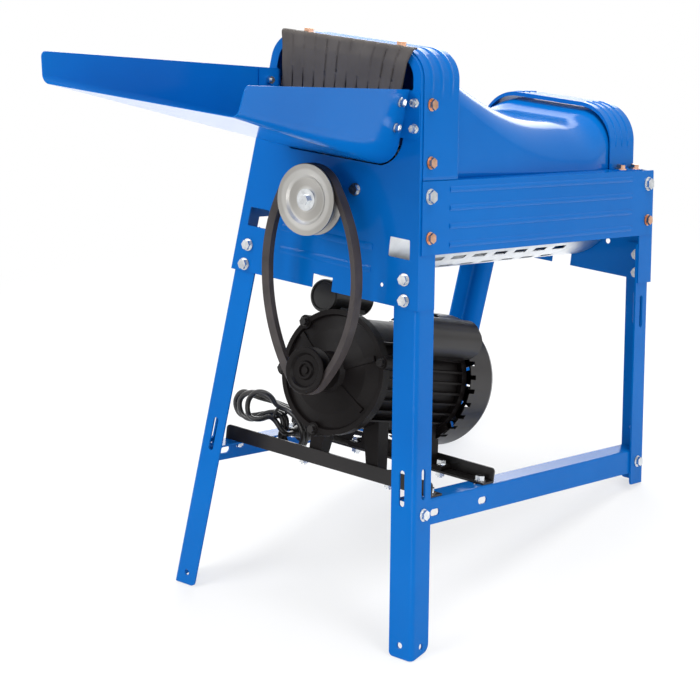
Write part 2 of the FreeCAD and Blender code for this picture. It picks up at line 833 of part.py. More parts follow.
def tray_bracket():
    """Angle that bolts the tray's right wall to the front plate."""
    block = box(tray_rear_half_width / 2, 2 * tray_rear_half_width, -bracket_depth, 0,
                bracket_low, bracket_high)
    wall_face = tray_skin(tray_sheet + bracket_gap)
    behind_wall = tray_skin(tray_sheet + bracket_gap + bracket_sheet)
    wall_leg = block.common(wall_face).cut(behind_wall)
    low_x = tray_wall_x(bracket_low, 0) - tray_sheet - bracket_sheet
    high_x = tray_wall_x(bracket_high, 0) - tray_sheet - bracket_sheet
    points = [(low_x, bracket_low), (half_width(bracket_low, bracket_edge), bracket_low),
              (half_width(bracket_high, bracket_edge), bracket_high), (high_x, bracket_high)]
    wing = slab(points, [0, 7, 7, 0], front_view(-bracket_sheet), vec(0, bracket_sheet, 0))
    bracket = fused([wall_leg, wing])
    bracket = drilled(bracket, bracket_seats(), 6, small_radius)
    return drilled(bracket, bracket_wall_seats(), 8, small_radius)


# Rubber curtain

def curtain_seats():
    top = hood_height + sheet_gap + hood_sheet
    return both_sides([(vec(curtain_stud_x, curtain_stud_y, top), Z_AXIS)])


def feed_curtain():
    """Slitted rubber flap that hangs over the mouth from its hinge line."""
    front = -sheet_gap - curtain_thickness
    top, low = curtain_hinge - sheet_gap, curtain_bottom
    points = [(-curtain_low_half_width, low), (curtain_low_half_width, low),
              (curtain_half_width, top), (-curtain_half_width, top)]
    flap = slab(points, [3, 3, 0, 0], front_view(front), vec(0, curtain_thickness, 0))
    step = 2 * curtain_low_half_width / (curtain_slit_count + 1)
    slits = []
    for i in range(curtain_slit_count):
        x = -curtain_low_half_width + step * (i + 1)
        slits.append(box(x - curtain_slit_width / 2, x + curtain_slit_width / 2, front - 1, 1,
                         low - 1, curtain_slit_top))
    return flap.cut(slits)


def curtain_fold():
    """Fixed edge of the rubber: down over the plate's rim, and back to the hood band."""
    front = -sheet_gap - curtain_thickness
    half = curtain_fold_half_width
    flat = flat_half_width(half_width(hood_height), hood_height, hood_corner)
    top = hood_height + sheet_gap
    fall = box(-half, half, front, -sheet_gap, curtain_hinge, top)
    fold = box(-flat, flat, front, front_hood_front - sheet_gap, top, top + curtain_thickness)
    brow = box(-flat, flat, front, -sheet_gap, top - 1, top + curtain_thickness)
    return fused([fall, fold, brow])


# Legs and base

def floor_height(y):
    """Height at which the floor passes under the body, at a distance from its front."""
    return front_leg_bottom + y * math.tan(math.radians(floor_tilt))


def leg(edge_y, toward, slots):
    """Right leg: a bent angle whose face flange lies at edge_y, cut off parallel to the floor."""
    t, w = leg_thickness, leg_flange
    x0 = -plate_sheet - sheet_gap
    y1, y2 = edge_y + toward * w, edge_y + toward * t
    bottom = floor_height(edge_y)
    points = [(x0, edge_y), (x0, y1), (x0 - t, y1), (x0 - t, y2), (x0 - w, y2), (x0 - w, edge_y)]
    radii = [leg_bend, 0, 0, leg_bend - t, 0, 0]
    low, high = bottom - w, leg_top / math.cos(lean)
    angle = on_side(slab(points, radii, lambda p: vec(p[0], p[1], low), vec(0, 0, high - low)))
    cutters = []
    for z, length, across in slots:
        cutters.append(leg_slot(edge_y, toward, z, length, across))
    trimmed = angle.common(leg_side_outline(edge_y, y1)).common(leg_face_outline(edge_y))
    return trimmed.cut(cutters)


def leg_side_outline(edge_y, free_y):
    """Side outline of a leg, with its free lower corner rounded, as a block across its width."""
    outer = edge_y + (edge_y - free_y)
    points = [(outer, floor_height(outer)), (free_y, floor_height(free_y)), (free_y, leg_top + 20),
              (outer, leg_top + 20)]
    return slab(points, [0, leg_corner, 0, 0], side_view(0), vec(3 * plate_half_width, 0, 0))


def leg_face_outline(edge_y):
    """Front outline of a leg, with its free lower corner rounded, as a block along the body."""
    low = floor_height(edge_y)
    inset = plate_sheet + sheet_gap + leg_flange
    points = [(half_width(low, inset), low), (half_width(low) + 20, low),
              (half_width(leg_top) + 20, leg_top + 20), (half_width(leg_top + 20, inset), leg_top + 20)]
    lift = front_view(-body_length)
    return slab(points, [leg_corner / 2, 0, 0, 0], lift, vec(0, 3 * body_length, 0))


def leg_slot(edge_y, toward, z, length, across):
    """Slot or round hole through a leg's face flange, or through its side flange."""
    radius = leg_hole_radius
    if across:
        centre = vec(half_width(z, plate_sheet + leg_hole_inset), edge_y, z)
        through, along = Y_AXIS, vec(-math.sin(lean), 0, math.cos(lean))
    else:
        centre = vec(half_width(z, plate_sheet), edge_y + toward * leg_hole_inset, z)
        through, along = side_out, vec(-math.sin(lean), 0, math.cos(lean))
    if length <= 2 * radius:
        return rod(centre - through * 10, through, radius, 20)
    return slot_cutter(centre, along, through, length, radius, 20)


def front_leg():
    edge = plate_sheet + sheet_gap
    low = base_top - base_height / 2
    slot = low + leg_slot_gap + leg_slot_length / 2
    foot = floor_height(leg_hole_inset) + leg_foot_hole
    part = leg(edge, 1, [(slot, leg_slot_length, True), (slot + 8, leg_slot_length - 8, False),
                         (foot, 0, True), (foot, 0, False)])
    part = drilled(part, front_plate_seats(), 12)
    return drilled(part, base_seats(), 14)


def rear_leg(slotted):
    """Rear leg as on the right; only the right one carries the upper slots."""
    edge = body_length - plate_sheet - sheet_gap
    foot = floor_height(edge) + leg_foot_hole
    slots = [(foot, 0, True), (foot + 70, 0, True)]
    if slotted:
        slots += [(leg_rear_slot, leg_slot_length, True), (leg_rear_slot, leg_slot_length, False)]
    part = leg(edge, -1, slots)
    part = drilled(part, rear_plate_seats(), 12)
    return drilled(part, base_seats(), 14)


def base_rail():
    """Right bottom rail: an angle with a leaning web and a level top flange."""
    gap = plate_sheet + 2 * sheet_gap + leg_thickness
    t = base_thickness
    low, high = base_top - base_height, base_top
    outer_low, outer_high = half_width(low, gap), half_width(high, gap)
    points = [(outer_low, low), (outer_high, high), (outer_high - base_flange, high),
              (outer_high - base_flange, high - t), (half_width(high - t, gap + t), high - t),
              (half_width(low, gap + t), low)]
    start = plate_sheet + 2 * sheet_gap + leg_bend
    length = body_length - 2 * start
    rail = slab(points, [0, 4, 0, 0, 1.5, 0], front_view(start), vec(0, length, 0))
    cutters = []
    for y in base_slot_starts:
        centre_z = base_top - base_height * 0.55
        centre = vec(half_width(centre_z, gap), y, centre_z)
        cutters.append(slot_cutter(centre, Y_AXIS, side_out, base_slot_length, 5.0, 16))
    for point, direction in bar_seats():
        cutters.append(slot_cutter(vec(point.x, point.y, base_top), Y_AXIS, Z_AXIS, 34.0,
                                   bolt_radius + hole_clearance, 12))
    return drilled(rail.cut(cutters), base_seats(), 18)


def motor_bar(y, toward):
    """Cross bar for the motor: a standing web with a flange towards the other bar."""
    t = bar_thickness
    low = base_top + sheet_gap
    web_points = [(-bar_half_length, low), (bar_half_length, low),
                  (bar_half_length, low + bar_height), (-bar_half_length, low + bar_height)]
    web = slab(web_points, [0, 0, bar_corner, bar_corner], front_view(y), vec(0, toward * t, 0))
    y0, y1 = sorted((y, y + toward * bar_flange))
    flange = box(-bar_half_length, bar_half_length, y0, y1, low, low + t)
    bar = fused([web, flange])
    bar = drilled(bar, bar_seats(), 8)
    return drilled(bar, foot_seats(), 12)


# Drum, trough and bearings

def drum_shaft():
    """Through shaft, with a reduced nose at its free end for a crank or a second pulley."""
    shoulder = shaft_rear - nose_length
    shaft = rod(vec(0, shaft_front, drum_height), Y_AXIS, shaft_radius, shoulder - shaft_front)
    nose = rod(vec(0, shoulder, drum_height), Y_AXIS, nose_radius, nose_length)
    return fused([shaft, nose])


def tooth(y, angle):
    """Tapered peg standing out of the drum tube."""
    direction = vec(math.cos(angle), 0, math.sin(angle))
    root = drum_tube_radius - drum_tube_wall / 2
    base = vec(0, y, drum_height) + direction * root
    return Part.makeCone(tooth_root_radius, tooth_tip_radius, drum_tip_radius - root, base, direction)


def paddle(angle):
    """Flat blade at the outlet end that throws the bare cobs out."""
    blade = box(drum_tube_radius - drum_tube_wall, drum_tip_radius, drum_rear - paddle_length,
                drum_rear, -paddle_thickness / 2, paddle_thickness / 2)
    blade.rotate(vec(0, 0, 0), Y_AXIS, angle)
    blade.translate(vec(0, 0, drum_height))
    return blade


def drum():
    """Tube with closed ends, pegs set on three spirals, and paddles at the outlet."""
    centre = vec(0, drum_front, drum_height)
    length = drum_rear - drum_front
    outer = rod(centre, Y_AXIS, drum_tube_radius, length)
    wall = drum_tube_wall
    hollow = rod(centre + Y_AXIS * wall, Y_AXIS, drum_tube_radius - wall, length - 2 * wall)
    bore = rod(centre - Y_AXIS, Y_AXIS, shaft_radius, length + 2)
    teeth = []
    last = drum_rear - paddle_length - tooth_root_radius - 4
    rows = int((last - drum_front - 2 * tooth_root_radius) / tooth_row_pitch) + 1
    for row in range(rows):
        y = drum_front + 2 * tooth_root_radius + row * tooth_row_pitch
        for start in range(tooth_start_count):
            teeth.append(tooth(y, math.radians(row * tooth_twist + start * 360 / tooth_start_count)))
    paddles = [paddle(i * 360 / paddle_count) for i in range(paddle_count)]
    tube = outer.cut([hollow, bore])
    return fused([tube] + teeth + paddles)


def trough():
    """Slotted sheet trough under the drum, hung by its flanges beneath the side rails."""
    top = rail_top - rail_sheet - sheet_gap
    length = trough_rear - trough_front
    start = vec(0, trough_front, trough_centre)
    r, t = trough_radius, trough_wall
    outer = rod(start, Y_AXIS, r, length)
    below = outer.common(box(-r, r, trough_front, trough_rear, trough_centre - r, trough_centre))
    sides = box(-r, r, trough_front, trough_rear, trough_centre, top)
    flanges = box(-r - trough_flange, r + trough_flange, plate_flange + 12, body_length - plate_flange - 12,
                  top - t, top)
    inner = rod(start - Y_AXIS, Y_AXIS, r - t, length + 2)
    well = box(-r + t, r - t, trough_front - 1, trough_rear + 1, trough_centre, top + 1)
    shell = fused([below, sides, flanges]).cut([inner, well])
    slots = []
    count = int((length - 80) / trough_slot_pitch)
    for k in range(count):
        y = trough_front + 50 + k * trough_slot_pitch
        for i in range(trough_slot_rows):
            angle = (i - (trough_slot_rows - 1) / 2) * 18.0
            cutter = box(-trough_slot_width / 2, trough_slot_width / 2, y, y + trough_slot_length,
                         -r - 2, -r + 6)
            cutter.rotate(vec(0, 0, 0), Y_AXIS, angle)
            cutter.translate(vec(0, 0, trough_centre))
            slots.append(cutter)
    return drilled(shell.cut(slots), trough_seats(), 8, small_radius)


def housing_seats(face_y):
    """Bolts of a bearing housing: heads outside the plate at either end of the body."""
    outwards = -Y_AXIS if face_y == 0 else Y_AXIS
    seats = []
    for turn in (housing_angle, housing_angle + 180):
        x = housing_ear_radius * math.cos(math.radians(turn))
        z = drum_height + housing_ear_radius * math.sin(math.radians(turn))
        seats.append((vec(x, face_y, z), outwards))
    return seats


def bearing_housing():
    """Two-eared flange housing behind the front plate."""
    y0 = plate_sheet + sheet_gap
    centre = vec(0, y0, drum_height)
    barrel = rod(centre, Y_AXIS, housing_radius, housing_depth)
    ears = []
    for seat, _ in housing_seats(0):
        ears.append(rod(vec(seat.x, y0, seat.z), Y_AXIS, 12.0, housing_plate))
    bar = box(-housing_ear_radius, housing_ear_radius, y0, y0 + housing_plate, -10.0, 10.0)
    bar.rotate(vec(0, 0, 0), Y_AXIS, -housing_angle)
    bar.translate(vec(0, 0, drum_height))
    pocket = rod(centre + Y_AXIS * 2.5, Y_AXIS, bearing_outer_radius, housing_depth)
    through = rod(centre - Y_AXIS, Y_AXIS, bearing_bore_radius, housing_depth)
    body = fused([barrel, bar] + ears).cut([pocket, through])
    return drilled(body, housing_seats(0), 16)


def bearing_outer():
    """Outer ring of the front bearing, in its housing's pocket."""
    start = vec(0, plate_sheet + sheet_gap + 2.5, drum_height)
    ring = rod(start, Y_AXIS, bearing_outer_radius, bearing_width)
    return ring.cut(rod(start - Y_AXIS, Y_AXIS, bearing_bore_radius, bearing_width + 2))


def bearing_inner():
    """Inner ring of the front bearing, on the shaft."""
    start = vec(0, plate_sheet + sheet_gap + 2.5, drum_height)
    ring = rod(start, Y_AXIS, bearing_bore_radius - 0.4, bearing_width)
    return ring.cut(rod(start - Y_AXIS, Y_AXIS, shaft_radius, bearing_width + 2))


# Belt drive

def pulley(centre, radius, bore):
    """V-grooved pulley turned about Y; centre is the middle of its front face."""
    w, g = pulley_width, groove_depth
    outer, inner = groove_outer_width, groove_inner_width
    rim = 0.62 * radius
    profile = [(bore, 0.0 + pulley_face_recess), (rim, pulley_face_recess), (rim + 4, 0.0),
               (radius, 0.0), (radius, (w - outer) / 2), (radius - g, (w - inner) / 2),
               (radius - g, (w + inner) / 2), (radius, (w + outer) / 2), (radius, w), (rim + 4, w),
               (rim, w - pulley_face_recess), (bore + 8, w - pulley_face_recess), (bore + 8, w + 8),
               (bore, w + 8)]
    points = [vec(r, y, 0) for r, y in profile]
    face = Part.Face(Part.makePolygon(points + points[:1]))
    wheel = face.revolve(vec(0, 0, 0), Y_AXIS, 360)
    wheel.translate(centre)
    return wheel


def drum_pulley():
    return pulley(vec(0, drum_pulley_front, drum_height), drum_pulley_radius, shaft_radius)


def motor_pulley():
    """Cast pulley with a ringed face and a blind bore, turned about Y."""
    w, g, r = pulley_width, groove_depth, motor_pulley_radius
    outer, inner, bore = groove_outer_width, groove_inner_width, motor_shaft_radius
    profile = [(0.0, 2.0), (5.0, 2.0), (5.5, 4.5), (8.5, 4.5), (9.5, 1.5), (12.0, 1.5), (14.0, 5.0),
               (22.0, 5.0), (25.0, 1.2), (28.0, 0.0), (r - 1.5, 0.0), (r, 1.2), (r, (w - outer) / 2),
               (r - g, (w - inner) / 2), (r - g, (w + inner) / 2), (r, (w + outer) / 2), (r, w),
               (r - 6.0, w), (bore + 8, w - 2.0), (bore + 8, w + 8), (bore, w + 8), (bore, 9.0), (0.0, 9.0)]
    points = [vec(radius, y, 0) for radius, y in profile]
    wheel = Part.Face(Part.makePolygon(points + points[:1])).revolve(vec(0, 0, 0), Y_AXIS, 360)
    wheel.translate(vec(motor_x, drum_pulley_front, motor_height))
    return tilted(wheel)


def pulley_middle():
    return drum_pulley_front + pulley_width / 2


def tilted(shape):
    """Turns a part of the motor about the middle of its pulley, so that its tail drops."""
    turned_shape = shape.copy()
    turned_shape.rotate(vec(motor_x, pulley_middle(), motor_height), X_AXIS, -motor_tilt)
    return turned_shape


def axis_height(y):
    """Height of the motor's axis at a distance along the body."""
    return motor_height - (y - pulley_middle()) * math.tan(math.radians(motor_tilt))


def strand_centre(side):
    """Centre of the arc that a slack strand bows to, tangent around both pulleys."""
    a, b = (0.0, drum_height), (motor_x, motor_height)
    ra = belt_strand_radius - drum_pulley_radius - belt_rise
    rb = belt_strand_radius - motor_pulley_radius - belt_rise
    dx, dz = b[0] - a[0], b[1] - a[1]
    d = math.hypot(dx, dz)
    along = (ra * ra - rb * rb + d * d) / (2 * d)
    off = math.sqrt(ra * ra - along * along)
    return (a[0] + (dx * along + side * dz * off) / d, a[1] + (dz * along - side * dx * off) / d)


def belt_arc(centre, radius, start, end):
    """Length of belt around a centre, between two directions, as a revolved wedge section."""
    y0 = pulley_middle()
    half, low = belt_width / 2, belt_inner_width / 2
    inner = radius - belt_thickness
    ring = [(radius, -half), (radius, half), (inner, low), (inner, -low)]
    section = Part.Face(Part.makePolygon([vec(r, y0 + y, 0) for r, y in ring + ring[:1]]))
    sweep = (start - end) % 360
    section.rotate(vec(0, 0, 0), Y_AXIS, -start)
    arc = section.revolve(vec(0, 0, 0), Y_AXIS, sweep)
    arc.translate(vec(centre[0], 0, centre[1]))
    return arc


def bearing_from(a, b):
    """Direction from one (x, z) point to another, in degrees."""
    return math.degrees(math.atan2(b[1] - a[1], b[0] - a[0]))


def strand_section(centre, radius, angle, low_z, high_z):
    """Wedge section of a strand, carried from the motor pulley's plane into the drum pulley's."""
    half, low = belt_width / 2, belt_inner_width / 2
    inner = radius - belt_thickness
    a = math.radians(angle)
    z = centre[1] + (radius - belt_thickness / 2) * math.sin(a)
    t = min(1.0, max(0.0, (z - low_z) / (high_z - low_z)))
    slope = math.tan(math.radians(motor_tilt))
    shift = slope * (z - motor_height) * (1 - t) ** 2
    turn = math.degrees(math.atan(slope * (1 - t) * (1 - 3 * t)))
    corners = [vec(r * math.cos(a) + centre[0], y, r * math.sin(a) + centre[1])
               for r, y in ((radius, -half), (radius, half), (inner, low), (inner, -low))]
    wire = Part.makePolygon(corners + corners[:1])
    wire.rotate(vec(0, 0, z), X_AXIS, -turn)
    wire.translate(vec(0, pulley_middle() + shift, 0))
    return wire


def belt_strand(centre, low_end, high_end):
    """Slack strand as a loft between its two ends, given as directions from its arc's centre."""
    count = 9
    radius = belt_strand_radius
    middle = math.radians(low_end)
    low_z = centre[1] + (radius - belt_thickness / 2) * math.sin(middle)
    high_z = centre[1] + (radius - belt_thickness / 2) * math.sin(math.radians(high_end))
    sweep = (high_end - low_end + 180) % 360 - 180
    sections = [strand_section(centre, radius, low_end + sweep * i / (count - 1), low_z, high_z)
                for i in range(count)]
    return Part.makeLoft(sections, True, False)


def drive_belt():
    """Slack V-belt: an arc on each pulley and a bowed strand on each side, all tangent."""
    top, low = (0.0, drum_height), (motor_x, motor_height)
    right, left = strand_centre(1), strand_centre(-1)
    if right[0] > left[0]:
        right, left = left, right
    r_top, r_low = drum_pulley_radius + belt_rise, motor_pulley_radius + belt_rise
    upper = belt_arc(top, r_top, bearing_from(left, top), bearing_from(right, top))
    lower = tilted(belt_arc(low, r_low, bearing_from(right, low), bearing_from(left, low)))
    strands = [belt_strand(centre, bearing_from(centre, low), bearing_from(centre, top))
               for centre in (right, left)]
    return fused([upper, lower] + strands)


def pulley_bolt():
    """Bolt and washer that hold the pulley on the drum shaft."""
    face = vec(0, shaft_front, drum_height)
    washer = rod(face - Y_AXIS * 2, Y_AXIS, shaft_radius + 3, 2)
    return fused([washer, hexagon(face - Y_AXIS * 2, -Y_AXIS, hex_size, hex_height)])


# Motor

def motor_point(radius, angle, y):
    """Point around the motor's axis, with the angle in degrees from +X towards +Z."""
    a = math.radians(angle)
    return vec(motor_x + radius * math.cos(a), y, motor_height + radius * math.sin(a))


def turned(profile, x=None, z=None):
    """Ring turned about an axis along Y from (radius, y) points."""
    x = motor_x if x is None else x
    z = motor_height if z is None else z
    points = [vec(r, y, 0) for r, y in profile]
    ring = Part.Face(Part.makePolygon(points + points[:1])).revolve(vec(0, 0, 0), Y_AXIS, 360)
    ring.translate(vec(x, 0, z))
    return ring


def motor_foot(side, y):
    """Cast foot that stands on a cross bar; side is 1 on the right."""
    axis = axis_height(y)
    floor = bar_top() + sheet_gap - axis
    s, w = foot_spread, foot_width / 2
    points = [(s - w - 6, floor), (s + w, floor), (s + w, floor + foot_sole), (s - 6, floor + foot_sole),
              (s - 14, -0.5 * motor_frame_radius), (0.4 * s, -0.7 * motor_frame_radius)]
    points = [(motor_x + side * x, axis + z) for x, z in points]
    lift = front_view(y - foot_length / 2)
    return slab(points, [0, 3, 3, 3, 0, 0], lift, vec(0, foot_length, 0))


def motor_frame():
    """Finned round frame on four cast feet, bored for the rotor."""
    y0, length = shield_front + shield_rim, motor_frame_rear - shield_front - shield_rim
    start = vec(motor_x, y0, motor_height)
    barrel = rod(start, Y_AXIS, motor_frame_radius, length)
    envelope = rod(start, Y_AXIS, motor_fin_radius, length)
    fins = []
    for i in range(motor_fin_count):
        z = motor_height + (i - (motor_fin_count - 1) / 2) * motor_fin_pitch
        fin = box(motor_x - motor_fin_radius, motor_x + motor_fin_radius, y0, y0 + length,
                  z - motor_fin_thickness / 2, z + motor_fin_thickness / 2)
        fins.append(fin.common(envelope))
    feet = [motor_foot(side, y) for side in (-1, 1) for y in foot_ys()]
    lugs = [rod(motor_point(shield_bolt_radius, angle, y0), Y_AXIS, shield_lug_radius,
                frame_lug_length) for angle in shield_bolt_angles]
    body = fused([barrel] + fins + lugs)
    body = body.cut(rod(start - Y_AXIS, Y_AXIS, rotor_radius + rotor_gap, length + 2))
    body = tilted(drilled(body, shield_seats(), shield_rim + 18, small_radius))
    tail = rod(vec(motor_x, motor_frame_rear - sheet_gap, motor_height), Y_AXIS, fan_cover_radius + 1,
               fan_cover_length + 20)
    feet = [foot.cut(tilted(tail)) for foot in feet]
    return drilled(fused([body] + feet), foot_seats(), 14)


def shield_profile():
    """(radius, y) outline of the front end shield, with its bearing pocket."""
    face, rear = shield_front, shield_front + shield_rim
    nose = face - shield_bulge
    bore = motor_shaft_radius + 1.5
    pocket = motor_bearing_radius
    return [(bore, nose), (shield_hub_radius, nose), (shield_hub_radius + 4, nose + 8),
            (0.68 * shield_radius, face - 7), (0.9 * shield_radius, face), (0.92 * shield_radius, face - shield_rim_rise),
            (shield_radius, face - shield_rim_rise), (shield_radius, rear), (pocket, rear),
            (pocket, rear - motor_bearing_width), (bore, rear - motor_bearing_width)]


def shield_lug(angle):
    """Ear on the shield's rim for one of the tie bolts."""
    return rod(motor_point(shield_bolt_radius, angle, shield_front - shield_rim_rise), Y_AXIS,
               shield_lug_radius, shield_rim + shield_rim_rise)


def shield_rib(angle):
    """Low radial stiffener on the shield's cone."""
    inner, outer = shield_hub_radius + 2, 0.86 * shield_radius
    points = [(inner, shield_front - shield_bulge + 6), (outer, shield_front - 6),
              (outer, shield_front + 2), (inner, shield_front)]
    rib = slab(points, [0] * 4, lambda p: vec(p[0], p[1], -4.0), vec(0, 0, 8.0))
    rib.rotate(vec(0, 0, 0), Y_AXIS, -angle)
    rib.translate(vec(motor_x, 0, motor_height))
    return rib


def front_shield():
    dome = turned(shield_profile())
    lugs = [shield_lug(angle) for angle in shield_bolt_angles]
    ribs = [shield_rib(angle) for angle in shield_rib_angles]
    return tilted(drilled(fused([dome] + lugs + ribs), shield_seats(), shield_rim + 6, small_radius))


def shield_seats():
    return [(motor_point(shield_bolt_radius, angle, shield_front - shield_rim_rise), -Y_AXIS)
            for angle in shield_bolt_angles]


def rear_shield():
    front, rear = motor_frame_rear, motor_frame_rear + rear_shield_rim
    pocket, bore = motor_bearing_radius, motor_shaft_radius + 1.5
    profile = [(pocket, front), (shield_radius - 2, front), (shield_radius - 2, rear), (30, rear),
               (28, rear + 6), (bore, rear + 6), (bore, front + motor_bearing_width),
               (pocket, front + motor_bearing_width)]
    reach = fan_cover_radius - fan_cover_wall - sheet_gap
    lugs = []
    for i in range(rear_lug_count):
        lug = box(shield_radius - 8, reach + 3, front + 3, rear, -rear_lug_half, rear_lug_half)
        lug.rotate(vec(0, 0, 0), Y_AXIS, 45 + i * 360 / rear_lug_count)
        lug.translate(vec(motor_x, 0, motor_height))
        lugs.append(lug)
    bound = rod(vec(motor_x, front, motor_height), Y_AXIS, reach, rear - front)
    return tilted(fused([turned(profile)] + [lug.common(bound) for lug in lugs]))


def motor_bearings():
    """Outer races in both shields."""
    rings = []
    for y in (shield_front + shield_rim - motor_bearing_width, motor_frame_rear):
        rings.append(turned([(motor_race_radius, y), (motor_bearing_radius, y),
                             (motor_bearing_radius, y + motor_bearing_width),
                             (motor_race_radius, y + motor_bearing_width)]))
    return tilted(Part.makeCompound(rings))


def motor_rotor():
    """Shaft with its core and inner races, turned as one."""
    y1 = shield_front + shield_rim
    front_race = y1 - motor_bearing_width
    rear_race = motor_frame_rear
    race = motor_race_radius - race_gap
    core_front, core_rear = y1 + 26, motor_frame_rear - 26
    shaft = motor_shaft_radius
    tail = fan_cover_front + fan_cover_length - 12
    profile = [(0, motor_shaft_front), (shaft, motor_shaft_front), (shaft, front_race), (race, front_race),
               (race, y1), (shaft + 3, y1), (shaft + 3, core_front), (rotor_radius, core_front),
               (rotor_radius, core_rear), (shaft + 3, core_rear), (shaft + 3, rear_race),
               (race, rear_race), (race, rear_race + motor_bearing_width),
               (shaft, rear_race + motor_bearing_width), (shaft, tail), (0, tail)]
    return tilted(turned(profile))


def motor_fan():
    """Cooling fan on the shaft's tail, under the cover."""
    y = fan_cover_front + 32
    hub = turned([(motor_shaft_radius, y - 4), (20, y - 4), (20, y), (fan_radius - 8, y),
                  (fan_radius - 8, y + 2.5), (20, y + 2.5), (20, y + 18), (motor_shaft_radius, y + 18)])
    blades = []
    for i in range(fan_blade_count):
        blade = box(16, fan_radius, y + 1, y + 22, -1.5, 1.5)
        blade.rotate(vec(0, 0, 0), Y_AXIS, i * 360 / fan_blade_count)
        blade.translate(vec(motor_x, 0, motor_height))
        blades.append(blade)
    bore = rod(vec(motor_x, y - 10, motor_height), Y_AXIS, motor_shaft_radius, 50)
    return tilted(fused([hub] + blades).cut(bore))


def fan_cover():
    """Domed cup over the fan, notched around its front edge and vented through its end."""
    y0 = fan_cover_front
    y1 = fan_cover_front + fan_cover_length
    r, t = fan_cover_radius, fan_cover_wall
    bend = 14.0
    profile = [(r - t, y0), (r, y0), (r, y1 - bend), (r - 4, y1 - 5), (r - bend, y1), (0, y1),
               (0, y1 - t), (r - bend - 0.6, y1 - t), (r - 4 - t, y1 - 5 - t / 2), (r - t, y1 - bend - 0.5)]
    cup = turned(profile)
    cutters = []
    for i in range(cover_vent_count):
        vent = box(r - 8, r + 8, fan_cover_front - 1, fan_cover_front + fan_cover_notch, -3.5, 3.5)
        cutters.append((vent, i * 360 / cover_vent_count))
    for ring in range(grille_ring_count):
        inner = 16 + ring * 22
        for i in range(grille_spoke_count):
            vent = box(inner, inner + 16, y1 - 6, y1 + 4, -2.5, 2.5)
            cutters.append((vent, i * 360 / grille_spoke_count))
    placed = []
    for vent, angle in cutters:
        vent.rotate(vec(0, 0, 0), Y_AXIS, angle)
        vent.translate(vec(motor_x, 0, motor_height))
        placed.append(vent)
    return tilted(cup.cut(placed))


def capacitor_box():
    """D-section housing along the motor's upper right, on a saddle that fits the fins."""
    w, h = capacitor_box_width / 2, capacitor_box_height
    base = motor_fin_radius + sheet_gap
    low = base + 0.35 * h
    points = [(-w + 6, base), (w - 6, base), (w, low), (w, base + h), (-w, base + h), (-w, low)]
    body = slab(points, [0, 0, 4, w - 4, w - 4, 4], front_view(capacitor_box_front),
                vec(0, capacitor_box_length, 0))
    saddle = box(-w + 6, w - 6, capacitor_box_front + 10,
                 capacitor_box_front + capacitor_box_length - 10, base - 8, base + 1)
    fins_round = rod(vec(0, capacitor_box_front, 0), Y_AXIS, base, capacitor_box_length)
    housing = fused([body, saddle.cut(fins_round)])
    housing.rotate(vec(0, 0, 0), Y_AXIS, 90 - capacitor_box_angle)
    housing.translate(vec(motor_x, 0, motor_height))
    return tilted(housing)


def start_capacitor():
    """Round can with a rolled front edge, on a saddle over the fins."""
    distance = motor_fin_radius + sheet_gap + start_can_saddle + start_can_radius
    y0, y1 = start_can_front, start_can_front + start_can_length
    centre = motor_point(distance, start_can_angle, y0)
    r = start_can_radius
    profile = [(0, y0 + 2), (r - 5, y0 + 2), (r - 4, y0), (r - 1.5, y0), (r, y0 + 2), (r, y1 - 3),
               (r - 3, y1), (0, y1)]
    can = turned(profile, centre.x, centre.z)
    near = motor_fin_radius + sheet_gap
    saddle = box(near - 4, distance, y0 + 20, y1 - 16, -12, 12)
    saddle = saddle.cut(rod(vec(0, y0, 0), Y_AXIS, near, start_can_length))
    saddle.rotate(vec(0, 0, 0), Y_AXIS, -start_can_angle)
    saddle.translate(vec(motor_x, 0, motor_height))
    return tilted(fused([can, saddle]))


# Mains lead

def gland_axis():
    """Start of the lead at the motor's left, and the direction in which it leaves."""
    inner = tilted(Part.Vertex(motor_point(motor_frame_radius, gland_angle, gland_y))).Point
    outer = tilted(Part.Vertex(motor_point(motor_frame_radius + 1, gland_angle, gland_y))).Point
    return inner, (outer - inner).normalize()


def cord_gland():
    """Threaded gland and its nut, standing out of the motor's frame."""
    start, out = gland_axis()
    reach = motor_fin_radius - motor_frame_radius + sheet_gap
    body = rod(start + out * reach, out, 9.0, 8.0)
    nut = hexagon(start + out * (reach + 8), out, 18.0, 6.0)
    return fused([body, nut]).cut(rod(start, out, lead_radius, 40))


def cord_route():
    """Centre line of the free stretch of the lead, from the gland's mouth to the hank."""
    start, out = gland_axis()
    reach = motor_fin_radius - motor_frame_radius + sheet_gap + 14
    exits = [start + out * reach, start + out * (reach + lead_first_run)]
    return exits + [vec(*lead_end)]


def round_path(points):
    """Straight runs joined by tangent arcs, each as large as its two runs allow."""
    edges, at = [], points[0]
    for before, here, after in zip(points, points[1:], points[2:]):
        a, b = here - before, after - here
        turn = a.getAngle(b)
        radius = 0.45 * min(a.Length, b.Length) / math.tan(turn / 2)
        reach = radius * math.tan(turn / 2)
        u, v = FreeCAD.Vector(a).normalize(), FreeCAD.Vector(b).normalize()
        start, end = here - u * reach, here + v * reach
        inward = (v - u).normalize()
        middle = here + inward * (radius / math.cos(turn / 2) - radius)
        edges += [Part.LineSegment(at, start).toShape(), Part.Arc(start, middle, end).toShape()]
        print("lead bend", round(radius, 1), "mm, turn", round(math.degrees(turn)), "degrees")
        at = end
    edges.append(Part.LineSegment(at, points[-1]).toShape())
    return Part.Wire(edges)


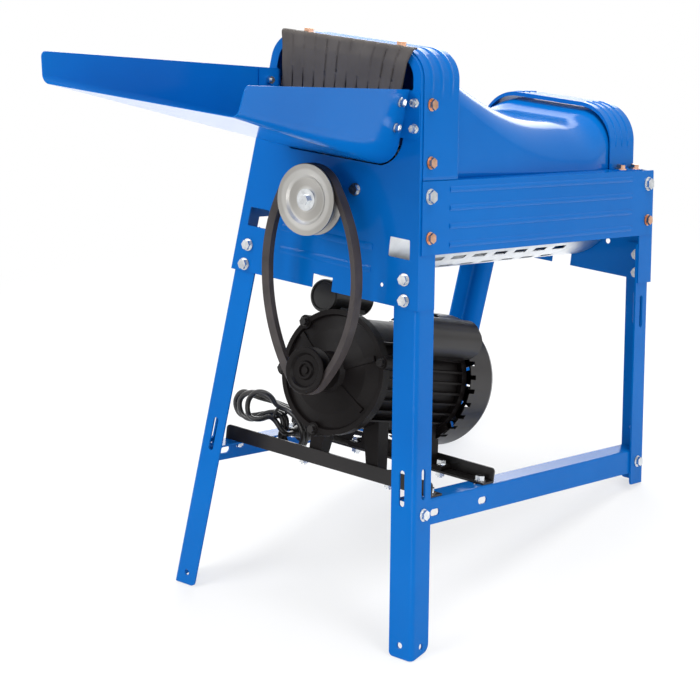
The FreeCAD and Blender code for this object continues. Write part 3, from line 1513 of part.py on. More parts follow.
def mains_lead():
    path = round_path(cord_route())
    first = path.Edges[0]
    start, direction = first.valueAt(first.FirstParameter), first.tangentAt(first.FirstParameter)
    ring = Part.Wire(Part.makeCircle(lead_radius, start, direction))
    tube = path.makePipeShell([ring], True, False)
    print("lead length", round(path.Length), "mm; volume over section times length",
          round(tube.Volume / (path.Length * math.pi * lead_radius ** 2), 4))
    return tube


def lead_hank():
    """Outer shape of the folded and tied length of lead."""
    lift = front_view(hank_y - hank_depth / 2)
    loops = slab(hank_loops, [12] * len(hank_loops), lift, vec(0, hank_depth, 0))
    tail = slab(hank_tail, [7] * len(hank_tail), lift, vec(0, hank_depth, 0))
    waist = slab(hank_waist, [0] * 4, front_view(hank_y - hank_depth / 2 + 3),
                 vec(0, hank_depth - 6, 0))
    return fused([loops, tail, waist])


def lead_tie():
    """Band around the hank's waist."""
    a, b, c, d = [vec(p[0], 0, p[1]) for p in hank_waist]
    top, low = (a + b) / 2, (c + d) / 2
    along = (b - a).normalize()
    down = low - top
    across = FreeCAD.Vector(down).normalize()
    blocks = []
    for grow, depth, half in ((1.8, hank_depth - 3, 3.0), (0.2, hank_depth - 5.6, 4.0)):
        corners = [top - across * grow - along * half, top - across * grow + along * half,
                   low + across * grow + along * half, low + across * grow - along * half]
        corners = [vec(p.x, hank_y - depth / 2, p.z) for p in corners]
        blocks.append(Part.Face(Part.makePolygon(corners + corners[:1])).extrude(vec(0, depth, 0)))
    return blocks[0].cut(blocks[1])


def mains_plug():
    """Moulded two-pin plug on the end of the lead."""
    start = vec(plug_place[0], hank_y + hank_depth / 2, plug_place[1])
    grip = Part.makeCone(6.0, 12.0, 22.0, start, Y_AXIS)
    body = rod(start + Y_AXIS * 22, Y_AXIS, 17.0, 16.0)
    pins = [rod(start + vec(offset, 38, 0), Y_AXIS, 2.4, 19.0) for offset in (-9.5, 9.5)]
    return fused([grip, body] + pins)


# Fastener groups

def bolts(seats, grip, size=hex_size, radius=bolt_radius):
    """Separate bolts, one for each seat, as one group."""
    return Part.makeCompound([bolt(point, direction, grip, size, radius) for point, direction in seats])


def screws(seats, length, size, radius):
    """Flanged screws without nuts."""
    group = []
    for seat, outwards in seats:
        outwards = FreeCAD.Vector(outwards).normalize()
        head = hexagon(seat + outwards * bolt_flange_height, outwards, size, hex_height)
        flange = rod(seat, outwards, bolt_flange_radius * size / hex_size, bolt_flange_height)
        shank = rod(seat - outwards * length, outwards, radius, length + 2)
        group.append(fused([head, flange, shank]))
    return Part.makeCompound(group)


def fastener_nodes():
    plate_to_leg = plate_sheet + sheet_gap + leg_thickness
    legs = bolts(front_plate_seats() + rear_plate_seats(), plate_to_leg)
    base = bolts(base_seats(), leg_thickness + sheet_gap + base_thickness)
    rail_grip = rail_sheet + sheet_gap + plate_sheet
    low, high = rail_bolt_heights
    copper = (bolts(rail_seats(low), rail_grip).Solids
              + bolts(hood_seats(), hood_sheet + sheet_gap + plate_sheet).Solids
              + bolts(rear_hood_seats(), hood_sheet + rail_sheet).Solids)
    bracket = (bolts(bracket_seats(), bracket_sheet + plate_sheet, small_hex, small_radius).Solids
               + bolts(bracket_wall_seats(), tray_sheet + bracket_sheet + 2 * sheet_gap, small_hex,
                       small_radius).Solids)
    bars = (bolts(bar_seats(), bar_thickness + sheet_gap + base_thickness).Solids
            + bolts(foot_seats(), foot_sole + sheet_gap + bar_thickness).Solids)
    return {
        "leg_bolts": legs,
        "base_bolts": base,
        "rail_bolts": bolts(rail_seats(high), rail_grip, big_hex),
        "copper_bolts": Part.makeCompound(copper),
        "bracket_bolts": Part.makeCompound(bracket),
        "bar_bolts": Part.makeCompound(bars),
        "bearing_bolts": bolts(housing_seats(0) + housing_seats(body_length),
                               plate_sheet + sheet_gap + housing_plate),
        "curtain_studs": bolts(curtain_seats(), hood_sheet + sheet_gap + plate_sheet),
        "trough_screws": bolts(trough_seats(), trough_wall + sheet_gap + rail_sheet, small_hex,
                               small_radius),
        "shield_bolts": tilted(screws(shield_seats(), shield_rim + 10, small_hex, small_radius)),
        "pulley_bolt": pulley_bolt(),
    }


# Placing the finished machine

def mirror_pair(nodes, name, shape):
    nodes[name + "_right"] = shape
    nodes[name + "_left"] = mirrored(shape)


def body_nodes():
    nodes = {"front_plate": front_plate(), "rear_plate": rear_plate()}
    mirror_pair(nodes, "side_rail", side_rail())
    nodes["front_hood"] = front_hood()
    nodes["rear_hood"] = rear_hood()
    nodes["drum_cover"] = drum_cover()
    nodes["feed_tray"] = feed_tray()
    mirror_pair(nodes, "tray_bracket", tray_bracket())
    nodes["feed_curtain"] = feed_curtain()
    nodes["curtain_fold"] = curtain_fold()
    mirror_pair(nodes, "front_leg", front_leg())
    nodes["rear_leg_right"] = rear_leg(True)
    nodes["rear_leg_left"] = mirrored(rear_leg(False))
    mirror_pair(nodes, "base_rail", base_rail())
    nodes["motor_bar_front"] = motor_bar(front_bar_y, 1)
    nodes["motor_bar_rear"] = motor_bar(rear_bar_y, -1)
    return nodes


def drive_nodes():
    housing, outer, inner = bearing_housing(), bearing_outer(), bearing_inner()
    return {
        "drum_shaft": drum_shaft(),
        "drum": drum(),
        "trough": trough(),
        "bearing_housing_front": housing,
        "bearing_housing_rear": swapped_end(housing),
        "bearing_outer_rings": Part.makeCompound([outer, swapped_end(outer)]),
        "bearing_inner_rings": Part.makeCompound([inner, swapped_end(inner)]),
        "drum_pulley": drum_pulley(),
        "motor_pulley": motor_pulley(),
        "drive_belt": drive_belt(),
        "motor_frame": motor_frame(),
        "motor_shield_front": front_shield(),
        "motor_shield_rear": rear_shield(),
        "motor_bearings": motor_bearings(),
        "motor_rotor": motor_rotor(),
        "motor_fan": motor_fan(),
        "fan_cover": fan_cover(),
        "capacitor_box": capacitor_box(),
        "start_capacitor": start_capacitor(),
        "cord_gland": cord_gland(),
        "mains_lead": mains_lead(),
        "lead_hank": lead_hank(),
        "lead_tie": lead_tie(),
        "mains_plug": mains_plug(),
    }


cord_names = ("cord_gland", "mains_lead", "lead_hank", "lead_tie", "mains_plug")


def stood(shape, offset):
    """Leans a shape back onto the floor and moves it by an offset."""
    placed = shape.copy()
    placed.rotate(vec(0, 0, 0), X_AXIS, -floor_tilt)
    placed.translate(offset)
    return placed


def main():
    os.makedirs("parts", exist_ok=True)
    nodes = body_nodes()
    nodes.update(drive_nodes())
    nodes.update(fastener_nodes())
    solid = [stood(shape, vec(0, 0, 0)) for name, shape in nodes.items() if name not in cord_names]
    bounds = Part.makeCompound(solid).BoundBox
    offset = vec(-bounds.Center.x, -bounds.Center.y, -bounds.ZMin)
    print("offset", round(offset.x, 4), round(offset.y, 4), round(offset.z, 4))
    for name, shape in nodes.items():
        placed = stood(shape, offset)
        placed.exportStep("parts/%s.step" % name)
        print(name, placed.isValid(), len(placed.Solids), round(placed.Volume))


main()
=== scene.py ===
import math

import bpy
import numpy as np
from mathutils import Matrix, Vector


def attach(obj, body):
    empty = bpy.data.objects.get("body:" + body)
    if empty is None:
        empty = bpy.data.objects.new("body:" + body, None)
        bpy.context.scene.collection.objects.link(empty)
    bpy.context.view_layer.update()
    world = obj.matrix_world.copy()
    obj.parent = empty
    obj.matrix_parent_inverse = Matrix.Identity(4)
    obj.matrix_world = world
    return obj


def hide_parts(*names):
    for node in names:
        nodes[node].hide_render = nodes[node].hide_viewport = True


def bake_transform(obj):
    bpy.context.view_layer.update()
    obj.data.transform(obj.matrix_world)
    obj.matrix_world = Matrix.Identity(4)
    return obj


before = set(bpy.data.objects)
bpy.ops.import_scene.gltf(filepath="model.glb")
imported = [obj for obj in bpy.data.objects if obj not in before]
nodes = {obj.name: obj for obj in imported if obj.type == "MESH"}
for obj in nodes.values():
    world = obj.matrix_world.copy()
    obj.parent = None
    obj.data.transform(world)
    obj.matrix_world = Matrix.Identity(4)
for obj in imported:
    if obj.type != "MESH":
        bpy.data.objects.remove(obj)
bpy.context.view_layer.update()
print("frame loaded:", len(nodes), "nodes")

# The machine is drawn with its drum level, then leaned back onto its feet.
drawing = {"tilt": 15.0, "offset": (0.0, -173.446, 478.4202), "sideLean": 6.7,
           "lowHalfWidth": 170.0}


def toRow(points):
    # drawing millimetres to metres on the floor: turn about X, then shift
    p = np.asarray(points, float)
    a = math.radians(drawing["tilt"])
    y = p[..., 1] * math.cos(a) + p[..., 2] * math.sin(a)
    z = -p[..., 1] * math.sin(a) + p[..., 2] * math.cos(a)
    turned = np.stack([p[..., 0], y, z], -1) + np.array(drawing["offset"])
    return turned / 1000.0


def leanAngle():
    return math.radians(drawing["sideLean"])


def halfWidth(z):
    # half the body's width falls in a straight line with height
    return drawing["lowHalfWidth"] - z * math.tan(leanAngle())


# Stage: camera at the photograph's angle, lamps, white room and paper floor.
stageLook = {
    "camera": (1.9029, -2.4375, 1.62905), "yaw": 39.362, "pitch": 22.861, "roll": -3.495, "lens": 114.65,
    "paper": (0.88, 0.885, 0.89), "nearGlow": 0.62, "farGlow": 1.0, "glowStart": 0.7, "glowEnd": 1.5,
    "fill": 0.34, "floorRings": (0.0, 2.0, 6.0), "floorSides": 96, "floorHeight": -0.0004, "paperRough": 0.75,
    "lamps": [
        # name, place, target, size, watts
        ("keyLamp", (-1.6, -2.6, 3.0), (0.0, 0.0, 0.5), (2.2, 2.2), 92.0),
        ("sideLamp", (3.2, -0.6, 2.2), (0.0, 0.1, 0.45), (1.6, 2.4), 58.0),
        ("topLamp", (0.2, 0.9, 3.2), (0.0, 0.1, 0.5), (2.8, 1.6), 66.0),
        ("frontLamp", (1.2, -3.6, 0.9), (0.0, 0.0, 0.3), (1.6, 1.2), 24.0),
        ("backLamp", (-2.2, 2.9, 1.35), (0.0, 0.1, 0.6), (3.4, 2.4), 85.0),
    ],
}


def addCamera():
    yaw, pitch, roll = (math.radians(stageLook[k]) for k in ("yaw", "pitch", "roll"))
    ahead = Vector((-math.sin(yaw) * math.cos(pitch), math.cos(yaw) * math.cos(pitch), -math.sin(pitch)))
    level = Vector((math.cos(yaw), math.sin(yaw), 0.0))
    above = level.cross(ahead)
    right = math.cos(roll) * level + math.sin(roll) * above
    up = -math.sin(roll) * level + math.cos(roll) * above
    data = bpy.data.cameras.new("photoCamera")
    data.lens, data.sensor_width, data.clip_end = stageLook["lens"], 36.0, 50.0
    cam = bpy.data.objects.new("photoCamera", data)
    bpy.context.scene.collection.objects.link(cam)
    turn = Matrix((right, up, -ahead)).transposed().to_4x4()
    cam.matrix_world = Matrix.Translation(stageLook["camera"]) @ turn
    bpy.context.scene.camera = cam


def addLamp(name, place, target, size, watts):
    data = bpy.data.lights.new(name, "AREA")
    data.shape, data.size, data.size_y, data.energy = "RECTANGLE", size[0], size[1], watts
    lamp = bpy.data.objects.new(name, data)
    bpy.context.scene.collection.objects.link(lamp)
    lamp.location = place
    lamp.visible_camera = False
    lamp.rotation_euler = (Vector(target) - Vector(place)).to_track_quat("-Z", "Y").to_euler()


def addWorld():
    world = bpy.data.worlds.new("whiteRoom")
    bpy.context.scene.world = world
    world.use_nodes = True
    tree = world.node_tree
    tree.nodes.clear()
    path = tree.nodes.new("ShaderNodeLightPath")
    seen = tree.nodes.new("ShaderNodeMath")
    seen.operation = "MAXIMUM"
    tree.links.new(path.outputs["Is Camera Ray"], seen.inputs[0])
    tree.links.new(path.outputs["Is Transmission Ray"], seen.inputs[1])
    mirrored = tree.nodes.new("ShaderNodeMath")
    mirrored.operation = "MAXIMUM"
    tree.links.new(seen.outputs[0], mirrored.inputs[0])
    tree.links.new(path.outputs["Is Glossy Ray"], mirrored.inputs[1])
    level = tree.nodes.new("ShaderNodeMix")
    level.inputs["A"].default_value, level.inputs["B"].default_value = stageLook["fill"], 1.0
    tree.links.new(mirrored.outputs[0], level.inputs["Factor"])
    glow = tree.nodes.new("ShaderNodeBackground")
    glow.inputs["Color"].default_value = (1.0, 1.0, 1.0, 1.0)
    tree.links.new(level.outputs[0], glow.inputs["Strength"])
    out = tree.nodes.new("ShaderNodeOutputWorld")
    tree.links.new(glow.outputs[0], out.inputs["Surface"])


def addFloor():
    # a disc of rings at floor level, each point at its ring's radius and its spoke's angle
    sides, radii = stageLook["floorSides"], np.array(stageLook["floorRings"])
    u, v = np.meshgrid(np.linspace(0, 2 * np.pi, sides + 1)[:-1], radii, indexing="ij")
    height = np.full_like(u, stageLook["floorHeight"])
    points = np.stack([v * np.cos(u), v * np.sin(u), height], -1).reshape(-1, 3)
    rings = len(radii)
    i = np.arange(sides)[:, None] * rings
    j = (np.arange(sides)[:, None] + 1) % sides * rings
    k = np.arange(rings - 1)[None, :]
    faces = np.stack([i + k, i + k + 1, j + k + 1, j + k], -1).reshape(-1, 4)
    mesh = bpy.data.meshes.new("studioFloor")
    mesh.from_pydata(points.tolist(), [], faces.tolist())
    floor = bpy.data.objects.new("studioFloor", mesh)
    bpy.context.scene.collection.objects.link(floor)
    paper = bpy.data.materials.new("studioPaper")
    paper.use_nodes = True
    tree = paper.node_tree
    shader = tree.nodes["Principled BSDF"]
    shader.inputs["Base Color"].default_value = (*stageLook["paper"], 1.0)
    shader.inputs["Roughness"].default_value = stageLook["paperRough"]
    glow = tree.nodes.new("ShaderNodeEmission")
    glow.inputs["Strength"].default_value = 1.0
    # the paper stays white to the eye, more so with distance, and keeps a part of its shading for the shadow
    mix = tree.nodes.new("ShaderNodeMixShader")
    path = tree.nodes.new("ShaderNodeLightPath")
    coords = tree.nodes.new("ShaderNodeTexCoord")
    distance = tree.nodes.new("ShaderNodeVectorMath")
    distance.operation = "LENGTH"
    tree.links.new(coords.outputs["Object"], distance.inputs[0])
    glowShare = tree.nodes.new("ShaderNodeMapRange")
    glowShare.interpolation_type = "SMOOTHSTEP"
    glowShare.inputs["From Min"].default_value = stageLook["glowStart"]
    glowShare.inputs["From Max"].default_value = stageLook["glowEnd"]
    glowShare.inputs["To Min"].default_value = stageLook["nearGlow"]
    glowShare.inputs["To Max"].default_value = stageLook["farGlow"]
    tree.links.new(distance.outputs["Value"], glowShare.inputs["Value"])
    share = tree.nodes.new("ShaderNodeMath")
    share.operation = "MULTIPLY"
    tree.links.new(path.outputs["Is Camera Ray"], share.inputs[0])
    tree.links.new(glowShare.outputs[0], share.inputs[1])
    tree.links.new(share.outputs[0], mix.inputs[0])
    tree.links.new(shader.outputs[0], mix.inputs[1])
    tree.links.new(glow.outputs[0], mix.inputs[2])
    tree.links.new(mix.outputs[0], tree.nodes["Material Output"].inputs["Surface"])
    mesh.materials.append(paper)


bpy.context.scene.view_settings.view_transform = "Standard"
addCamera()
addWorld()
addFloor()
for lampSpec in stageLook["lamps"]:
    addLamp(*lampSpec)
print("stage set")


# Finishes: each has a main and a darker tone in linear colour, and numbers for gloss and grain.
finishes = {
    "blueEnamel": {"color": (0.002, 0.138, 0.490), "dark": (0.0015, 0.116, 0.430), "rough": 0.14, "metal": 0.0,
                   "shine": 0.08, "bump": 0.035, "bumpScale": 60.0, "vary": 4.5, "grain": 42.0},
    "blackEnamel": {"color": (0.016, 0.014, 0.014), "dark": (0.009, 0.008, 0.008), "rough": 0.30, "metal": 0.0,
                    "shine": 0.3, "bump": 0.05, "bumpScale": 90.0, "vary": 9.0, "grain": 50.0},
    "castBlack": {"color": (0.0085, 0.007, 0.007), "dark": (0.004, 0.003, 0.003), "rough": 0.40, "metal": 0.0,
                  "shine": 0.10, "bump": 0.26, "bumpScale": 420.0, "vary": 14.0, "grain": 70.0},
    "brightZinc": {"color": (0.78, 0.80, 0.81), "dark": (0.48, 0.50, 0.53), "rough": 0.22, "metal": 1.0,
                   "shine": 0.5, "bump": 0.10, "bumpScale": 260.0, "vary": 75.0, "grain": 30.0},
    "copperPlate": {"color": (0.84, 0.53, 0.38), "dark": (0.48, 0.25, 0.15), "rough": 0.24, "metal": 1.0,
                    "shine": 0.5, "bump": 0.10, "bumpScale": 260.0, "vary": 80.0, "grain": 30.0},
    "galvanised": {"color": (0.72, 0.74, 0.75), "dark": (0.56, 0.58, 0.60), "rough": 0.32, "metal": 1.0,
                   "shine": 0.5, "bump": 0.05, "bumpScale": 120.0, "vary": 40.0, "grain": 20.0},
    "turnedSteel": {"color": (0.42, 0.41, 0.39), "dark": (0.32, 0.31, 0.29), "rough": 0.30, "metal": 1.0,
                    "shine": 0.5, "bump": 0.04, "bumpScale": 300.0, "vary": 12.0, "grain": 60.0},
    "castIron": {"color": (0.05, 0.045, 0.043), "dark": (0.025, 0.022, 0.021), "rough": 0.46, "metal": 0.3,
                 "shine": 0.3, "bump": 0.3, "bumpScale": 330.0, "vary": 25.0, "grain": 50.0},
    "sheetRubber": {"color": (0.088, 0.077, 0.070), "dark": (0.060, 0.052, 0.048), "rough": 0.62, "metal": 0.0,
                    "shine": 0.3, "bump": 0.22, "bumpScale": 500.0, "vary": 22.0, "grain": 26.0},
    "beltRubber": {"color": (0.050, 0.040, 0.039), "dark": (0.026, 0.021, 0.020), "rough": 0.52, "metal": 0.0,
                   "shine": 0.35, "bump": 0.25, "bumpScale": 900.0, "vary": 30.0, "grain": 50.0},
    "mouldedBlack": {"color": (0.016, 0.015, 0.015), "dark": (0.009, 0.009, 0.009), "rough": 0.36, "metal": 0.0,
                     "shine": 0.35, "bump": 0.12, "bumpScale": 700.0, "vary": 25.0, "grain": 60.0},
    "leadSheath": {"color": (0.024, 0.022, 0.022), "dark": (0.014, 0.013, 0.013), "rough": 0.30, "metal": 0.0,
                   "shine": 0.5, "bump": 0.08, "bumpScale": 800.0, "vary": 18.0, "grain": 60.0},
}


# what all finishes share: the mix of the two tones, the spread of the gloss and the depth of the bump
finishMix = {"darkBelow": 0.3, "mainAbove": 0.7, "glossLow": 0.82, "glossHigh": 1.25, "bumpDepth": 0.0006,
             "toneDetail": 4.0, "fineDetail": 3.0}


def makeFinish(name, look):
    # two tones mixed by a slow noise, gloss that wanders with a finer one, and a fine bump
    mat = bpy.data.materials.new(name)
    mat.use_nodes = True
    tree = mat.node_tree
    shader = tree.nodes["Principled BSDF"]
    coords = tree.nodes.new("ShaderNodeTexCoord")

    def noise(scale, detail):
        node = tree.nodes.new("ShaderNodeTexNoise")
        node.inputs["Scale"].default_value, node.inputs["Detail"].default_value = scale, detail
        tree.links.new(coords.outputs["Object"], node.inputs["Vector"])
        return node.outputs[0]

    ramp = tree.nodes.new("ShaderNodeValToRGB")
    low, high = ramp.color_ramp.elements
    low.position, high.position = finishMix["darkBelow"], finishMix["mainAbove"]
    low.color, high.color = (*look["dark"], 1.0), (*look["color"], 1.0)
    tree.links.new(noise(look["vary"], finishMix["toneDetail"]), ramp.inputs["Fac"])
    tree.links.new(ramp.outputs["Color"], shader.inputs["Base Color"])
    gloss = tree.nodes.new("ShaderNodeMapRange")
    gloss.inputs["To Min"].default_value = look["rough"] * finishMix["glossLow"]
    gloss.inputs["To Max"].default_value = look["rough"] * finishMix["glossHigh"]
    tree.links.new(noise(look["grain"], finishMix["fineDetail"]), gloss.inputs["Value"])
    tree.links.new(gloss.outputs[0], shader.inputs["Roughness"])
    bump = tree.nodes.new("ShaderNodeBump")
    bump.inputs["Strength"].default_value = look["bump"]
    bump.inputs["Distance"].default_value = finishMix["bumpDepth"]
    tree.links.new(noise(look["bumpScale"], finishMix["fineDetail"]), bump.inputs["Height"])
    tree.links.new(bump.outputs[0], shader.inputs["Normal"])
    shader.inputs["Metallic"].default_value = look["metal"]
    shader.inputs["Specular IOR Level"].default_value = look["shine"]
    return mat


mats = {name: makeFinish(name, look) for name, look in finishes.items()}

wears = {
    "blueEnamel": ["front_plate", "rear_plate", "side_rail_right", "side_rail_left", "front_hood", "rear_hood",
                   "drum_cover", "feed_tray", "tray_bracket_right", "tray_bracket_left", "front_leg_right",
                   "front_leg_left", "rear_leg_right", "rear_leg_left", "base_rail_right", "base_rail_left"],
    "blackEnamel": ["motor_bar_front", "motor_bar_rear", "fan_cover", "capacitor_box", "shield_bolts"],
    "castBlack": ["motor_frame", "motor_shield_front", "motor_shield_rear", "motor_pulley"],
    "galvanised": ["trough"],
    "turnedSteel": ["drum_shaft", "bearing_outer_rings", "bearing_inner_rings", "motor_bearings",
                    "motor_rotor"],
    "brightZinc": ["leg_bolts", "base_bolts", "rail_bolts", "bracket_bolts", "bar_bolts", "bearing_bolts",
                   "trough_screws", "pulley_bolt"],
    "copperPlate": ["copper_bolts", "curtain_studs"],
    "castIron": ["drum", "bearing_housing_front", "bearing_housing_rear"],
    "sheetRubber": ["feed_curtain", "curtain_fold"],
    "beltRubber": ["drive_belt"],
    "leadSheath": ["mains_lead", "lead_hank"],
    "mouldedBlack": ["motor_fan", "start_capacitor", "cord_gland", "lead_tie", "mains_plug"],
}
# the big pulley's turned rings, centred on the drum's axis: fine grooves for the bump, and wide rings of painted
# sheen in the colour
pulleyRingsAndSheen = {"axis": (0.0, -46.5, 131.0), "grooveScale": 300.0, "sheenRingScale": 13.0, "depth": 0.18,
               "sheenRingWander": 1.5, "rough": 0.34}


def addGroovesAndSheenRings(mat):
    # rings about the tilted axis: fine ones feed the bump as grooves, and wide ones swap the two tones as painted
    # light and dark sheen bands
    tree = mat.node_tree
    coords = tree.nodes.new("ShaderNodeTexCoord")
    centred = tree.nodes.new("ShaderNodeVectorMath")
    centred.operation = "SUBTRACT"
    centred.inputs[1].default_value = toRow(pulleyRingsAndSheen["axis"]).tolist()
    tree.links.new(coords.outputs["Object"], centred.inputs[0])
    level = tree.nodes.new("ShaderNodeVectorRotate")
    level.rotation_type = "X_AXIS"
    level.inputs["Angle"].default_value = math.radians(drawing["tilt"])
    tree.links.new(centred.outputs["Vector"], level.inputs["Vector"])
    grooves, sheenRings = (tree.nodes.new("ShaderNodeTexWave") for wave in range(2))
    for wave, scale in ((grooves, pulleyRingsAndSheen["grooveScale"]), (sheenRings, pulleyRingsAndSheen["sheenRingScale"])):
        wave.wave_type, wave.rings_direction = "RINGS", "Y"
        wave.inputs["Scale"].default_value = scale
        tree.links.new(level.outputs["Vector"], wave.inputs["Vector"])
    sheenRings.inputs["Distortion"].default_value = pulleyRingsAndSheen["sheenRingWander"]
    # the wide rings paint the turned face's light and dark sheen into its colour
    ramp = tree.nodes["Color Ramp"]
    tree.links.new(sheenRings.outputs["Fac"], ramp.inputs["Fac"])
    bump = tree.nodes["Bump"]
    bump.inputs["Strength"].default_value = pulleyRingsAndSheen["depth"]
    tree.links.new(grooves.outputs["Fac"], bump.inputs["Height"])


turnedFace = makeFinish("turnedFace", {**finishes["turnedSteel"], "rough": pulleyRingsAndSheen["rough"]})
addGroovesAndSheenRings(turnedFace)
mats["turnedFace"] = turnedFace
wears["turnedFace"] = ["drum_pulley"]

for finishName, members in wears.items():
    for member in members:
        nodes[member].data.materials.clear()
        nodes[member].data.materials.append(mats[finishName])
print("finishes on", sum(len(m) for m in wears.values()), "nodes")


# Helpers for the new pieces.
def gridFaces(rows, columns, closed):
    # quads between neighbouring points of a grid, the last column joined to the first when closed
    i = np.arange(rows - 1)[:, None]
    k = np.arange(columns if closed else columns - 1)[None, :]
    n = (k + 1) % columns
    here, after = i * columns, (i + 1) * columns
    return np.stack([here + k, here + n, after + n, after + k], -1).reshape(-1, 4)


def addPiece(name, points, faces, finish, smooth=True):
    mesh = bpy.data.meshes.new(name)
    mesh.from_pydata(np.asarray(points).reshape(-1, 3).tolist(), [], [list(f) for f in faces])
    mesh.polygons.foreach_set("use_smooth", np.full(len(mesh.polygons), smooth))
    mesh.materials.append(mats[finish])
    piece = bpy.data.objects.new(name, mesh)
    bpy.context.scene.collection.objects.link(piece)
    return piece


def thicken(piece, millimetres, offset):
    # a sheet's thickness, laid inwards at an offset of -1 and to both sides at 0
    wall = piece.modifiers.new("sheet", "SOLIDIFY")
    wall.thickness, wall.offset = millimetres / 1000.0, offset


def sweptRound(path, radii, around):
    # a circle of changing radius carried along a path, its ends closed by fans to their middles
    path = np.asarray(path, float)
    ahead = np.gradient(path, axis=0)
    ahead /= np.linalg.norm(ahead, axis=1)[:, None]
    first = np.cross(ahead, np.array([0.0, 1.0, 0.0]))
    first /= np.linalg.norm(first, axis=1)[:, None]
    second = np.cross(ahead, first)
    turn = np.linspace(0, 2 * np.pi, around, endpoint=False)
    ring = (np.cos(turn)[None, :, None] * first[:, None, :]
            + np.sin(turn)[None, :, None] * second[:, None, :])
    points = path[:, None, :] + np.asarray(radii)[:, None, None] * ring
    rows = len(path)
    faces = gridFaces(rows, around, True).tolist()
    k = np.arange(around)
    n = (k + 1) % around
    start, end = rows * around, rows * around + 1
    faces += np.stack([n, k, np.full(around, start)], -1).tolist()
    last = (rows - 1) * around
    faces += np.stack([last + k, last + n, np.full(around, end)], -1).tolist()
    return np.concatenate([points.reshape(-1, 3), path[:1], path[-1:]]), faces


# Mains lead, folded into a hank and tied.
lead = {
    # points of its line in the drawing, millimetres: out of the gland, then turn after turn of the hank
    "exit": [(-55.8, 100.3, -187.9), (-66, 99.5, -194.9), (-82, 102, -204), (-102, 108, -211), (-122, 109.2, -212)],
    "rearLoop": [(-150, 109.2, -209), (-188, 109.2, -210), (-216, 109.2, -204), (-230, 109.2, -226),
                 (-216, 109.2, -246), (-194, 109.2, -241), (-166, 109.2, -231), (-146, 109.2, -223),
                 (-127, 109.2, -225)],
    "middleLoop": [(-132, 100.2, -211), (-160, 100.2, -201), (-192, 100.2, -200), (-214, 100.2, -218),
                   (-206, 100.2, -242), (-182, 100.2, -245), (-162, 100.2, -230), (-146, 100.2, -223),
                   (-127, 100.2, -225)],
    "frontLoop": [(-132, 91.2, -210), (-146, 91.2, -195), (-172, 91.2, -194), (-190, 91.2, -214),
                  (-184, 91.2, -240), (-160, 91.2, -238), (-138, 91.2, -225)],
    "rearTurn": [(-121, 109.2, -240), (-128, 109.2, -258), (-112, 109.2, -274), (-88, 107.9, -269),
                 (-77, 104.7, -248), (-86, 101.1, -224), (-108, 100.2, -211.5)],
    "middleTurn": [(-121, 100.2, -240), (-128, 100.2, -258), (-112, 100.2, -274), (-88, 98.9, -269),
                   (-77, 95.7, -248), (-86, 92.1, -224), (-108, 91.2, -211.5)],
    "intoPlug": [(-110, 90, -251), (-113, 117, -250), (-114, 126, -250)],
    "length": 1.038, "diameter": 0.008,
    # strain relief at the gland, in metres
    "bootLength": 0.026, "bootRadius": 0.0078, "bootEndWall": 0.0009, "bootRings": 5, "bootRingRise": 0.0007,
    "bootRingDip": 0.35, "bootSteps": 61, "bootAround": 28,
    # band round the hank's neck, in millimetres
    "tieMiddle": (-128.5, 100.2, -219.5), "tieAlong": (0.92, 0.0, -0.39), "tieHalfHeight": 8.9,
    "tieHalfDepth": 13.6, "tieWidth": 4.6, "tieThickness": 1.3, "tieSquareness": 0.45, "tieSteps": 56,
}


def addLead():
    # a smooth curve drawn towards its points; its bare line is kept for the boot and the exit
    order = ("exit", "rearLoop", "rearTurn", "middleLoop", "middleTurn", "frontLoop", "intoPlug")
    points = toRow([p for part in order for p in lead[part]])
    curve = bpy.data.curves.new("mainsLeadCord", "CURVE")
    curve.dimensions = "3D"
    spline = curve.splines.new("NURBS")
    spline.points.add(len(points) - 1)
    spline.points.foreach_set("co", np.concatenate([points, np.ones((len(points), 1))], 1).ravel())
    spline.order_u = 3
    spline.use_endpoint_u = True
    spline.resolution_u = 6
    cord = bpy.data.objects.new("mainsLeadCord", curve)
    bpy.context.scene.collection.objects.link(cord)
    bare = bpy.data.meshes.new_from_object(cord)
    line = np.empty(len(bare.vertices) * 3)
    bare.vertices.foreach_get("co", line)
    line = line.reshape(-1, 3)
    bpy.data.meshes.remove(bare)
    curve.bevel_depth, curve.bevel_resolution, curve.use_fill_caps = lead["diameter"] / 2, 4, True
    curve.materials.append(mats["leadSheath"])
    return cord, line


def addBoot(line):
    # strain relief along the lead's own line: the radius falls evenly from the gland outwards, plus a sine for rings
    run = np.concatenate([[0.0], np.cumsum(np.linalg.norm(np.diff(line, axis=0), axis=1))])
    at = np.linspace(0.0, lead["bootLength"], lead["bootSteps"])
    path = np.stack([np.interp(at, run, line[:, k]) for k in range(3)], -1)
    share = at / lead["bootLength"]
    endRadius = lead["diameter"] / 2 + lead["bootEndWall"]
    taper = lead["bootRadius"] + (endRadius - lead["bootRadius"]) * share
    wave = np.sin(share * 2 * np.pi * lead["bootRings"])
    ringed = lead["bootRingRise"] * np.maximum(wave, -lead["bootRingDip"])
    return addPiece("leadBoot", *sweptRound(path, taper + ringed, lead["bootAround"]), "mouldedBlack")


def closing(rows, columns):
    # quads from the last ring back to the first
    k = np.arange(columns)
    n = (k + 1) % columns
    last = (rows - 1) * columns
    return np.stack([last + k, last + n, n, k], -1)


def squared(v):
    # a sine or cosine raised to a small power, so that a circle turns into a rounded rectangle
    return np.sign(v) * np.abs(v) ** lead["tieSquareness"]


